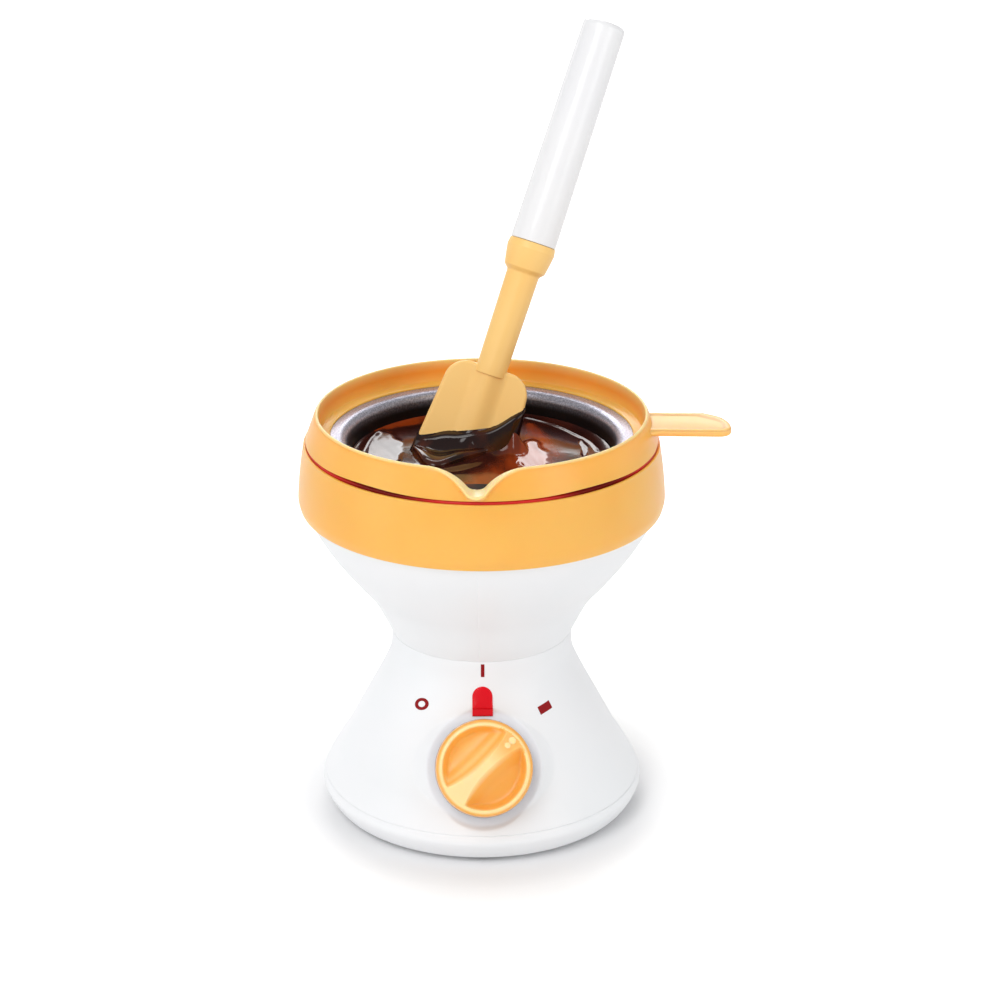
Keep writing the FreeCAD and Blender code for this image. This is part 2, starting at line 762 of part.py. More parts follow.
def upper_housing():
    outer = turned(
        (groove_radius, neck_top_z),
        (groove_radius, groove_top_z),
        upper[0],
        ("smooth", upper[1:]),
        (housing_top_radius, housing_top_z + spigot_height),
        (0, housing_top_z + spigot_height),
        (0, neck_top_z),
    )
    floor_z = neck_top_z + wall
    cavity = turned(
        (radius_at(upper_inside, floor_z), floor_z),
        ("smooth", upper_inside[1:-1] + [(housing_top_radius - wall, housing_top_z)]),
        (housing_top_radius - wall, housing_top_z + spigot_height + 1),
        (0, housing_top_z + spigot_height + 1),
        (0, floor_z),
    )
    body = outer.cut(cavity)
    flange = tube(housing_top_radius - wall / 2, housing_flange_radius, housing_flange_z, housing_top_z)
    holes = [cylinder(wire_hole_radius, neck_top_z - 1, floor_z + 1)]
    bosses = []
    for x, y in waist_screw_points:
        bosses.append(cylinder(boss_radius, neck_top_z + 0.5, floor_z + waist_boss_height, x, y))
        holes.append(cylinder(pilot_radius, neck_top_z - 1, neck_top_z + waist_screw_length + 0.3, x, y))
    for x, y in collar_screw_points:
        holes.append(cylinder(screw_hole_radius, housing_flange_z - 1, housing_top_z + 1, x, y))
    body = body.multiFuse([flange] + bosses)
    return body.cut(group(holes)).removeSplitter()


def collar_outer(z):
    """The collar's outside radius above its widest ring."""
    t = (z - collar_max_z) / (collar_top_z - collar_max_z)
    return collar_max_radius + (collar_top_radius - collar_max_radius) * t + 4 * collar_bulge * t * (1 - t)


def heater_collar():
    mid_z = (collar_max_z + collar_top_z) / 2
    lip_z = collar_top_z - collar_round
    low_z = (housing_top_z + collar_max_z) / 2
    ledge_z = well_seat_z - ledge
    socket_radius = housing_top_radius + slip
    body = turned(
        (collar_bottom_radius, housing_top_z),
        ("arc", (collar_bottom_radius + 0.75 * (collar_max_radius - collar_bottom_radius), low_z),
         (collar_max_radius, collar_max_z)),
        ("arc", (collar_outer(mid_z), mid_z), (collar_outer(lip_z), lip_z)),
        ("arc", (collar_outer(lip_z) - 0.3 * collar_round, collar_top_z - 0.3 * collar_round),
         (collar_outer(lip_z) - collar_round, collar_top_z)),
        (collar_top_radius - collar_lip, collar_top_z),
        (collar_top_radius - collar_lip, seal_seat_z),
        (web_inner_radius, seal_seat_z),
        (web_inner_radius, well_seat_z),
        (ledge_inner_radius, well_seat_z),
        (ledge_inner_radius, ledge_z),
        (web_inner_radius + web_wall, ledge_z),
        (web_inner_radius + web_wall, seal_seat_z - web_wall),
        (collar_outer(seal_seat_z) - collar_wall, seal_seat_z - web_wall),
        (collar_outer(well_seat_z) - collar_wall, well_seat_z),
        (socket_radius, housing_top_z + spigot_height + slip),
        (socket_radius, housing_top_z),
    )
    boss_low = housing_top_z + contact
    bosses = [cylinder(boss_radius, boss_low, ledge_z + 0.5, x, y) for x, y in collar_screw_points]
    ribs = []
    rib_low = housing_top_z + spigot_height + 1
    for i in range(4):
        rib = box(collar_screw_circle, socket_radius + 0.6, -1, 1, rib_low, ledge_z + 0.5)
        rib.rotate(vec(), vec(z=1), 45 + 90 * i)
        ribs.append(rib)
    body = body.multiFuse(bosses + ribs)
    holes = []
    for x, y in collar_screw_points:
        holes.append(cylinder(pilot_radius, boss_low - 1, housing_top_z + collar_screw_length, x, y))
        holes.append(cylinder(pilot_radius, well_seat_z - well_screw_length, well_seat_z + 1, x, y))
    return body.cut(group(holes)).removeSplitter()


def collar_screws():
    length = collar_screw_length + housing_flange - 0.6
    return group([screw(x, y, housing_flange_z - contact, length) for x, y in collar_screw_points])


def seal_ring():
    outer = collar_top_radius - collar_lip - contact
    inner = outer - seal_width
    low = seal_seat_z + contact
    high = seal_seat_z + seal_height
    return turned(
        (inner, low),
        (outer, low),
        (outer, high - seal_round),
        ("arc", (outer - 0.3 * seal_round, high - 0.3 * seal_round), (outer - seal_round, high)),
        (inner, high),
    )


def bowl_section(grow, top_z, outward=None):
    """Steps of the bowl's wall from a height down to the axis, grown outwards by a distance."""
    radius = bowl_corner_radius + grow
    centre_z = bowl_floor_z + bowl_corner_radius
    centre_r = bowl_low_radius - bowl_corner_radius
    slope = (bowl_opening_radius - bowl_low_radius) / (bowl_flange_z - bowl_shoulder_radius - centre_z)
    top = (bowl_low_radius + grow + slope * (top_z - centre_z), top_z)
    steps = [
        (centre_r + radius, centre_z),
        ("arc", (centre_r + radius * math.sqrt(0.5), centre_z - radius * math.sqrt(0.5)),
         (centre_r, centre_z - radius)),
        (0, centre_z - radius),
    ]
    return top, steps


def bowl():
    shoulder_z = bowl_flange_z - bowl_shoulder_radius
    shoulder_r = bowl_opening_radius + bowl_shoulder_radius
    inner_top, inner_steps = bowl_section(0.0, shoulder_z)
    outer_top, outer_steps = bowl_section(bowl_sheet, shoulder_z)
    solids = []
    for grow, top, steps in ((0.0, inner_top, inner_steps), (bowl_sheet, outer_top, outer_steps)):
        round_radius = bowl_shoulder_radius - grow
        flange_z = bowl_flange_z - grow
        mid = (shoulder_r - round_radius * math.sqrt(0.5), shoulder_z + round_radius * math.sqrt(0.5))
        solids.append(turned(
            (0, flange_z + 1 if grow == 0.0 else bowl_flange_z),
            (bowl_flange_radius + (1 if grow == 0.0 else 0), flange_z + 1 if grow == 0.0 else bowl_flange_z),
            (bowl_flange_radius + (1 if grow == 0.0 else 0), flange_z),
            (shoulder_r, flange_z),
            ("arc", mid, top),
            *steps,
        ))
    return solids[1].cut(solids[0]).removeSplitter()


def heater_well():
    flange_top = well_seat_z + contact + well_sheet
    inner_top, inner_steps = bowl_section(bowl_sheet + well_gap, flange_top - well_corner)
    outer_top, outer_steps = bowl_section(bowl_sheet + well_gap + well_sheet, well_seat_z - well_corner)
    corner_r = inner_top[0] + well_corner
    mid = 0.3 * well_corner
    inner = turned(
        (0, flange_top + 1),
        (corner_r, flange_top + 1),
        (corner_r, flange_top),
        ("arc", (inner_top[0] + mid, flange_top - mid), inner_top),
        *inner_steps,
    )
    outer = turned(
        (0, flange_top),
        (well_flange_radius, flange_top),
        (well_flange_radius, well_seat_z + contact),
        (outer_top[0], well_seat_z + contact),
        outer_top,
        *outer_steps,
    )
    body = outer.cut(inner)
    low = well_seat_z - 1.0
    holes = [cylinder(screw_hole_radius, low, flange_top + 1, x, y) for x, y in collar_screw_points]
    return body.cut(group(holes))


def well_screws():
    seat_z = well_seat_z + well_sheet + 2 * contact
    length = well_screw_length + well_sheet - 1.0
    return group([screw(x, y, seat_z, length, up=False) for x, y in collar_screw_points])


def heating_element():
    z = well_floor_z - contact - element_radius
    gap = math.radians(element_gap_half)
    start = math.radians(90) + gap
    end = math.radians(90 + 360) - gap

    def on_ring(angle, lift=0.0):
        return vec(element_circle * math.cos(angle), element_circle * math.sin(angle), z + lift)

    middle = 0.5 * (start + end)
    edges = [Part.Arc(on_ring(start), on_ring(middle), on_ring(end)).toShape()]
    legs = []
    for angle, sign in ((start, -1), (end, 1)):
        along = vec(-math.sin(angle), math.cos(angle), 0) * sign
        p0 = on_ring(angle)
        bend = element_bend
        half = math.sqrt(0.5)
        p1 = p0 + along * bend + vec(z=-bend)
        pm = p0 + along * (bend * half) + vec(z=-bend * (1 - half))
        p2 = p1 + vec(z=-element_leg)
        legs.append((Part.Arc(p0, pm, p1).toShape(), Part.makeLine(p1, p2), p2))
    wire = Part.Wire([legs[0][1], legs[0][0], edges[0], legs[1][0], legs[1][1]])
    disc = Part.Wire(Part.makeCircle(element_radius, legs[0][2], vec(z=1)))
    return wire.makePipeShell([disc], True, False)


def element_leg_points():
    gap = math.radians(element_gap_half)
    points = []
    for angle, sign in ((math.radians(90) + gap, -1), (math.radians(90) - gap, 1)):
        x = element_circle * math.cos(angle) - sign * element_bend * math.sin(angle)
        y = element_circle * math.sin(angle) + sign * element_bend * math.cos(angle)
        points.append((x, y))
    return points


def heat_shield():
    low = shield_z - shield_sheet
    body = turned(
        (0, low),
        (shield_radius - 3, low),
        (shield_radius + shield_sheet, low + 3 + shield_sheet),
        (shield_radius + shield_sheet, shield_z + shield_rim),
        (shield_radius, shield_z + shield_rim),
        (shield_radius, shield_z + 3),
        (shield_radius - 3, shield_z),
        (0, shield_z),
    )
    holes = [cylinder(thermostat_base_radius + 0.5, low - 1, shield_z + 1)]
    holes += [cylinder(stud_radius + slip, low - 1, shield_z + 1, x, y) for x, y in stud_points]
    holes += [cylinder(element_radius + 1.5, low - 1, shield_z + 1, x, y) for x, y in element_leg_points()]
    return body.cut(group(holes))


def shield_studs():
    top = well_floor_z - contact
    low = shield_z - shield_sheet - stud_end
    return group([cylinder(stud_radius, low, top, x, y) for x, y in stud_points])


def shield_spacers():
    low = shield_z + contact
    top = well_floor_z - contact
    return group([tube(spacer_radius, stud_radius + slip, low, top, x, y) for x, y in stud_points])


def shield_nuts():
    top = shield_z - shield_sheet - contact
    nuts = []
    for x, y in stud_points:
        nut = hexagon(hex_nut_flats, top - hex_nut_height, top, x, y)
        nuts.append(nut.cut(cylinder(stud_radius + contact, top - hex_nut_height - 1, top + 1, x, y)))
    return group(nuts)


def thermostat():
    cap = cylinder(thermostat_radius, shield_z + contact, well_floor_z - contact)
    base_low = shield_z - thermostat_base
    base = cylinder(thermostat_base_radius, base_low, shield_z + 1)
    spades = [box(x - 0.4, x + 0.4, -2.4, 2.4, base_low - spade_length, base_low + 1) for x in (-4, 4)]
    return fused(cap, base, *spades)


def thermal_fuse():
    z = shield_z + contact + fuse_radius
    body = Part.makeCylinder(fuse_radius, fuse_length, vec(-fuse_length / 2, fuse_y, z), vec(x=1))
    lead = Part.makeCylinder(0.5, fuse_length + 10, vec(-fuse_length / 2 - 5, fuse_y, z), vec(x=1))
    return fused(body, lead)


def fuse_clip():
    z0 = shield_z + contact
    z = z0 + fuse_radius
    outer = fuse_radius + clip_sheet + contact
    half = clip_width / 2
    strap = Part.makeCylinder(outer, clip_width, vec(-half, fuse_y, z), vec(x=1))
    strap = strap.fuse(box(-half, half, fuse_y - outer, fuse_y + outer, z0, z))
    feet = box(-half, half, fuse_y - outer, fuse_y + outer + clip_foot, z0, z0 + clip_sheet)
    gap = fuse_radius + contact
    inner = Part.makeCylinder(gap, clip_width + 2, vec(-half - 1, fuse_y, z), vec(x=1))
    inner_low = box(-half - 1, half + 1, fuse_y - gap, fuse_y + gap, z0 - 1, z)
    above = box(-half, half, fuse_y - 20, fuse_y + 20, z0, z0 + 20)
    return fused(strap, feet).common(above).cut(inner).cut(inner_low)


def spout_outline(grow, y0, y1):
    """The spout's smooth bell outline, grown into the ring, as a solid between two distances."""
    depth = rim_top_z - rim_ledge_z
    total = (spout_half_width ** 2 + depth ** 2) / (2 * depth)
    tilt = 2 * math.atan2(depth, spout_half_width)
    low = spout_bottom_round + grow
    shoulder = total - low
    joint = (low * math.sin(tilt), rim_ledge_z + spout_bottom_round - low * math.cos(tilt))
    mid_x = spout_half_width - shoulder * math.sin(0.5 * tilt)
    mid_z = rim_top_z - grow - shoulder * (1 - math.cos(0.5 * tilt))
    place = lambda x, z: vec(x, y0, z)
    steps = [
        (-spout_half_width, rim_top_z - grow),
        ("arc", (-mid_x, mid_z), (-joint[0], joint[1])),
        ("arc", (0, rim_ledge_z - grow), joint),
        ("arc", (mid_x, mid_z), (spout_half_width, rim_top_z - grow)),
        (spout_half_width, rim_top_z + 5),
    ]
    return face_of((-spout_half_width, rim_top_z + 5), steps, place).extrude(vec(y=y1 - y0))


def spout_lip():
    """The edge along the spout, swollen outwards most at its foot."""
    front = -lip_reach - 1.0
    band = spout_outline(lip_width, front, -spout_half_width - 20.0)
    low = rim_ledge_z - lip_width
    envelope = Part.makeCone(lip_reach, lip_top_reach, rim_top_z - low, vec(z=low))
    return band.common(envelope).cut(cylinder(rim_guide_radius + 0.5, low - 1, rim_top_z + 1))


def tab_outline(shrink, z):
    """The tab's outline: a near corner, and a far corner swept back in one long arc."""
    half = tab_width / 2 - shrink
    reach = tab_reach - shrink
    corner = tab_corner - shrink
    mid = corner * (1 - math.sqrt(0.5))
    start = tab_root if shrink == 0.0 else rim_bottom_radius
    place = lambda x, y: vec(x, y, z)
    steps = [
        (reach - corner, -half),
        ("arc", (reach - mid, -half + mid), (reach, -half + corner)),
        ("arc", (reach - tab_sweep, tab_sweep_y - shrink), (tab_sweep_x - shrink, half)),
        (start, half),
    ]
    return face_of((start, -half), steps, place)


def handle_tab():
    plate = tab_outline(0.0, tab_top_z - tab_thickness).extrude(vec(z=tab_thickness))
    edges = [e for e in plate.Edges if e.BoundBox.ZLength < 0.01 and e.BoundBox.XMax > tab_root + 1]
    plate = plate.makeFillet(tab_thickness * 0.3, edges)
    return plate.cut(tab_outline(tab_border, tab_top_z - tab_dish).extrude(vec(z=5)))


def pot_rim():
    skirt_slope = (rim_bottom_radius - rim_outer_radius) / (rim_top_z - rim_bottom_z)
    round_radius = (rim_outer_radius - rim_inner_radius) / 2
    bead_z = rim_top_z - round_radius
    groove_z = rim_ledge_z - 0.4
    step = 0.8
    step_corner = (rim_ledge_outer_radius - 0.3 * step, rim_ledge_z + 0.3 * step)
    seat_radius = bowl_flange_radius + slip
    body = turned(
        (rim_bottom_radius, rim_bottom_z),
        (rim_outer_radius, bead_z),
        ("arc", (rim_outer_radius - round_radius, rim_top_z), (rim_inner_radius, bead_z)),
        (rim_ledge_outer_radius, rim_ledge_z + step),
        ("arc", step_corner, (rim_ledge_outer_radius - step, rim_ledge_z)),
        (rim_ledge_radius, rim_ledge_z - 0.2),
        (rim_ledge_radius, bowl_flange_z + contact),
        (seat_radius, bowl_flange_z + contact),
        (seat_radius, rim_guide_z),
        (rim_guide_radius, rim_guide_z),
        (rim_guide_radius, groove_z),
        (rim_bottom_radius - rim_skirt - skirt_slope * (groove_z - rim_bottom_z), groove_z),
        (rim_bottom_radius - rim_skirt, rim_bottom_z),
    )
    notch = spout_outline(0.0, -lip_reach - 5.0, -rim_ledge_radius + 8.0)
    sill_top = rim_ledge_z + 1.0
    sill_back = 4.0 - rim_ledge_radius
    sill = box(-spout_sill_half, spout_sill_half, -seat_radius, sill_back, bowl_flange_z, sill_top)
    sill = sill.common(cylinder(seat_radius, bowl_flange_z, sill_top))
    body = body.fuse(spout_lip()).cut(notch).cut(sill).fuse(handle_tab()).removeSplitter()
    body.rotate(vec(), vec(z=1), pot_turn)
    return body


def bowl_clamp_ring():
    outer = bowl_flange_radius + slip - contact
    top = bowl_flange_z - bowl_sheet - contact
    return tube(outer, outer - clamp_width, top - clamp_height, top)


def melted_chocolate():
    top, steps = bowl_section(-chocolate_gap, chocolate_z)
    body = turned((0, chocolate_z), top, *steps)
    # The hollow that the blade leaves: it widens upwards with the blade's spine
    half_x = blade_tip_half + pocket_gap
    low_y = blade_tip_thickness / 2 + 1.1 * pocket_gap
    high_y = spine_top_half + pocket_gap
    place = lambda y, z: vec(-half_x, y, z)
    corners = [(low_y, -pocket_gap), (high_y, blade_length), (-high_y, blade_length)]
    pocket = face_of((-low_y, -pocket_gap), corners, place).extrude(vec(x=2 * half_x))
    return body.cut(on_spatula(pocket))


def blade_outline():
    """Half-widths of the blade from tip to top, with round corners."""
    tip_mid = blade_tip_corner * (1 - math.sqrt(0.5))
    top_mid = blade_top_corner * (1 - math.sqrt(0.5))
    place = lambda x, z: vec(x, -10, z)
    right = [
        (blade_tip_half - blade_tip_corner, 0),
        ("arc", (blade_tip_half - tip_mid, tip_mid), (blade_tip_half, blade_tip_corner)),
        (blade_top_half, blade_length - blade_top_corner),
        ("arc", (blade_top_half - top_mid, blade_length - top_mid),
         (blade_top_half - blade_top_corner, blade_length)),
    ]
    left = [
        (-blade_top_half + blade_top_corner, blade_length),
        ("arc", (-blade_top_half + top_mid, blade_length - top_mid),
         (-blade_top_half, blade_length - blade_top_corner)),
        (-blade_tip_half, blade_tip_corner),
        ("arc", (-blade_tip_half + tip_mid, tip_mid), (-blade_tip_half + blade_tip_corner, 0)),
    ]
    return face_of((-blade_tip_half + blade_tip_corner, 0), right + left, place).extrude(vec(y=20))


def spatula_blade():
    # Thin at the tip and thicker at the top, seen from the side
    place = lambda y, z: vec(-blade_tip_half - 1, y, z)
    tip = blade_tip_thickness / 2
    top = blade_top_thickness / 2
    wedge = face_of(
        (-tip, tip),
        [("arc", (0, 0), (tip, tip)), (top, blade_length), (-top, blade_length)],
        place,
    ).extrude(vec(x=2 * blade_tip_half + 2))
    plate = blade_outline().common(wedge)
    sections = []
    for z, half_y in ((blade_length, spine_top_half), (spine_end, spine_tip_half)):
        ellipse = Part.Ellipse(vec(0, 0, z), spine_half_width, half_y)
        sections.append(Part.Wire(ellipse.toShape()))
    spine = Part.makeLoft(sections, True)
    socket = cylinder(tongue_radius + contact, blade_length - tongue_length - 0.5, blade_length + 1)
    return on_spatula(fused(plate, spine).cut(socket))


def spatula_shaft():
    low = blade_length + contact
    neck_top = blade_length + neck_length
    ferrule_top = neck_top + ferrule_length
    body = turned(
        (0, blade_length - tongue_length),
        (tongue_radius - 0.5, blade_length - tongue_length),
        (tongue_radius, blade_length - tongue_length + 0.5),
        (tongue_radius, low),
        (neck_low_radius, low),
        (neck_high_radius, neck_top),
        ("smooth", [(0.5 * (neck_high_radius + ferrule_radius) + 0.4, neck_top + 1.8),
                    (ferrule_radius - 0.5, neck_top + 4.2), (ferrule_radius, neck_top + 6.6),
                    (ferrule_radius - 0.1, neck_top + 9.0), (ferrule_top_radius, ferrule_top)]),
        (tang_radius, ferrule_top),
        (tang_radius, ferrule_top + tang_length),
        (0, ferrule_top + tang_length),
    )
    return on_spatula(body)


def spatula_handle():
    low = blade_length + neck_length + ferrule_length + contact
    top = low + handle_length
    mid = handle_round * (1 - math.sqrt(0.5))
    body = turned(
        (tang_radius + contact, low),
        (ferrule_top_radius, low),
        (handle_top_radius, top - handle_round),
        ("arc", (handle_top_radius - mid, top - mid), (handle_top_radius - handle_round, top)),
        (0, top),
        (0, low + tang_length + 0.5),
        (tang_radius + contact, low + tang_length + 0.5),
    )
    return on_spatula(body)


pieces = {
    "base_housing": base_housing,
    "base_cover": base_cover,
    "rubber_feet": rubber_feet,
    "cover_screws": cover_screws,
    "waist_screws": waist_screws,
    "cord_gland": cord_gland,
    "terminal_block": terminal_block,
    "switch_body": switch_body,
    "switch_nut": switch_nut,
    "switch_shaft": switch_shaft,
    "control_knob": control_knob,
    "lamp_lens": lamp_lens,
    "lamp_holder": lamp_holder,
    "indicator_lamp": indicator_lamp,
    "upper_housing": upper_housing,
    "heater_collar": heater_collar,
    "collar_screws": collar_screws,
    "seal_ring": seal_ring,
    "heater_well": heater_well,
    "well_screws": well_screws,
    "heating_element": heating_element,
    "heat_shield": heat_shield,
    "shield_studs": shield_studs,
    "shield_spacers": shield_spacers,
    "shield_nuts": shield_nuts,
    "thermostat": thermostat,
    "thermal_fuse": thermal_fuse,
    "fuse_clip": fuse_clip,
    "pot_rim": pot_rim,
    "bowl": bowl,
    "bowl_clamp_ring": bowl_clamp_ring,
    "melted_chocolate": melted_chocolate,
    "spatula_blade": spatula_blade,
    "spatula_shaft": spatula_shaft,
    "spatula_handle": spatula_handle,
}

os.makedirs("parts", exist_ok=True)
for name, make in pieces.items():
    shape = make()
    shape.exportStep("parts/" + name + ".step")
    print(name, len(shape.Solids), "solid(s)", round(shape.Volume, 1), "mm3", shape.isValid())
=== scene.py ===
import math
import bpy
import bmesh
from mathutils import Matrix, Vector, noise


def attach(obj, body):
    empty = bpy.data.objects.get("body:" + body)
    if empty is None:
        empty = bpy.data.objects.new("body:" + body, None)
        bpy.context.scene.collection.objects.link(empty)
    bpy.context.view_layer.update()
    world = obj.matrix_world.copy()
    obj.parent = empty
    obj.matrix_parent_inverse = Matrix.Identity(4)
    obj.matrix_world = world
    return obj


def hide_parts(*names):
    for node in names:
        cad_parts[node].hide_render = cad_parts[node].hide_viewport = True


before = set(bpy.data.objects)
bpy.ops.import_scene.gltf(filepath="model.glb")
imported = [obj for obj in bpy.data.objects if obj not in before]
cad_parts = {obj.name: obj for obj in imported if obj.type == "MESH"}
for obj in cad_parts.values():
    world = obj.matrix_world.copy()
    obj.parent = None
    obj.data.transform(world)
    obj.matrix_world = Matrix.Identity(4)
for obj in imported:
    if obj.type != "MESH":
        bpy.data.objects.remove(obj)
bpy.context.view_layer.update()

mm = 0.001
print("frame loaded, nodes:", len(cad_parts))


# Shader helpers: a wire is one output socket, and sums of wires add Math nodes

class Wire:
    def __init__(self, finish, socket):
        self.finish = finish
        self.socket = socket

    def math(self, operation, *values):
        return self.finish.node("ShaderNodeMath", {"operation": operation}, values)

    def __add__(self, other):
        return self.math("ADD", self, other)

    def __radd__(self, other):
        return self.math("ADD", other, self)

    def __sub__(self, other):
        return self.math("SUBTRACT", self, other)

    def __rsub__(self, other):
        return self.math("SUBTRACT", other, self)

    def __mul__(self, other):
        return self.math("MULTIPLY", self, other)

    def __rmul__(self, other):
        return self.math("MULTIPLY", other, self)

    def root(self):
        return self.math("SQRT", self)

    def ramp(self, low, high):
        # 0 at low, 1 at high, smooth between them
        settings = {"interpolation_type": "SMOOTHSTEP"}
        return self.finish.node("ShaderNodeMapRange", settings, {0: self, 1: low, 2: high, 3: 0.0, 4: 1.0})


class Graph:
    def __init__(self, tree):
        self.tree = tree

    def node(self, kind, settings=None, values=(), output=0):
        made = self.tree.nodes.new(kind)
        for key, value in (settings or {}).items():
            if key == "stops":
                while len(made.color_ramp.elements) < len(value):
                    made.color_ramp.elements.new(0.5)
                for element, (place, colour) in zip(made.color_ramp.elements, value):
                    element.position = place
                    element.color = colour
            else:
                setattr(made, key, value)
        pairs = values.items() if isinstance(values, dict) else enumerate(values)
        for key, value in pairs:
            if isinstance(value, Wire):
                self.tree.links.new(value.socket, made.inputs[key])
            elif value is not None:
                made.inputs[key].default_value = value
        return Wire(self, made.outputs[output])

    def outputsOf(self, wire):
        return [Wire(self, socket) for socket in wire.socket.node.outputs]

    def axes(self, where):
        return self.outputsOf(self.node("ShaderNodeSeparateXYZ", values=[where]))

    def background(self, mirrored=1.0):
        # 1 for rays that show the background: from the camera, and in reflections and glass
        path = self.node("ShaderNodeLightPath").socket.node
        names = ("Is Camera Ray", "Is Glossy Ray", "Is Transmission Ray")
        seen, glossy, through = [Wire(self, path.outputs[name]) for name in names]
        return seen.math("MAXIMUM", seen, seen.math("MAXIMUM", glossy * mirrored, through))

    def feed(self, socket, wire):
        self.tree.links.new(wire.socket, socket)


class Finish(Graph):
    def __init__(self, name, fixed):
        self.material = bpy.data.materials.new(name)
        self.material.use_nodes = True
        super().__init__(self.material.node_tree)
        self.shader = self.tree.nodes["Principled BSDF"]
        for socket, value in fixed.items():
            self.shader.inputs[socket].default_value = value

    def place(self):
        return self.node("ShaderNodeTexCoord", output=3)

    def grain(self, scale, detail=3.0, stretch=None):
        where = self.place()
        if stretch:
            where = self.node("ShaderNodeVectorMath", {"operation": "MULTIPLY"}, [where, stretch])
        return self.node("ShaderNodeTexNoise", values={"Vector": where, "Scale": scale, "Detail": detail})

    def blend(self, amount, first, second):
        return self.node("ShaderNodeMix", {"data_type": "RGBA"}, {0: amount, 6: first, 7: second}, output=2)

    def give(self, socket, wire):
        self.feed(self.shader.inputs[socket], wire)

    def relief(self, height, strength, distance):
        settings = {"Strength": strength, "Distance": distance, "Height": height}
        self.give("Normal", self.node("ShaderNodeBump", values=settings))


def rgb(red, green, blue):
    # a colour as seen on a screen, 0 to 255, as the shader's linear colour
    def linear(value):
        value = value / 255
        return value / 12.92 if value <= 0.04045 else ((value + 0.055) / 1.055) ** 2.4
    return (linear(red), linear(green), linear(blue), 1.0)


def mouldedPlastic(name, colour, deeper, rough, texture, fixed=None, shaded=None, pale=None):
    # moulded plastic: a little unevenness in colour and gloss, and a very fine skin
    finish = Finish(name, fixed or {})
    cloud = finish.grain(26.0, 2.0).ramp(0.35, 0.7)
    skin = finish.blend(cloud, colour, deeper)
    # painted highlight (the paler tone) and painted shade (the deeper tone), by amounts kept with the mesh
    for kind, tone in (("edge", pale), ("recess", shaded)):
        if tone:
            amount = finish.node("ShaderNodeAttribute", {"attribute_name": kind}, output=2)
            skin = finish.blend(amount, skin, tone)
    finish.give("Base Color", skin)
    finish.give("Roughness", finish.grain(190.0, 4.0) * 0.1 + (rough - 0.05))
    finish.relief(finish.grain(1500.0, 2.0), texture, 0.0001)
    return finish


def plainMetal(name, colour, darker, rough, stretch, scale, fixed=None):
    finish = Finish(name, {"Metallic": 1.0, **(fixed or {})})
    streaks = finish.grain(scale, 5.0, stretch)
    finish.give("Base Color", finish.blend(streaks.ramp(0.3, 0.75), colour, darker))
    finish.give("Roughness", streaks * 0.18 + (rough - 0.09))
    finish.relief(streaks, 0.08, 0.0002)
    return finish


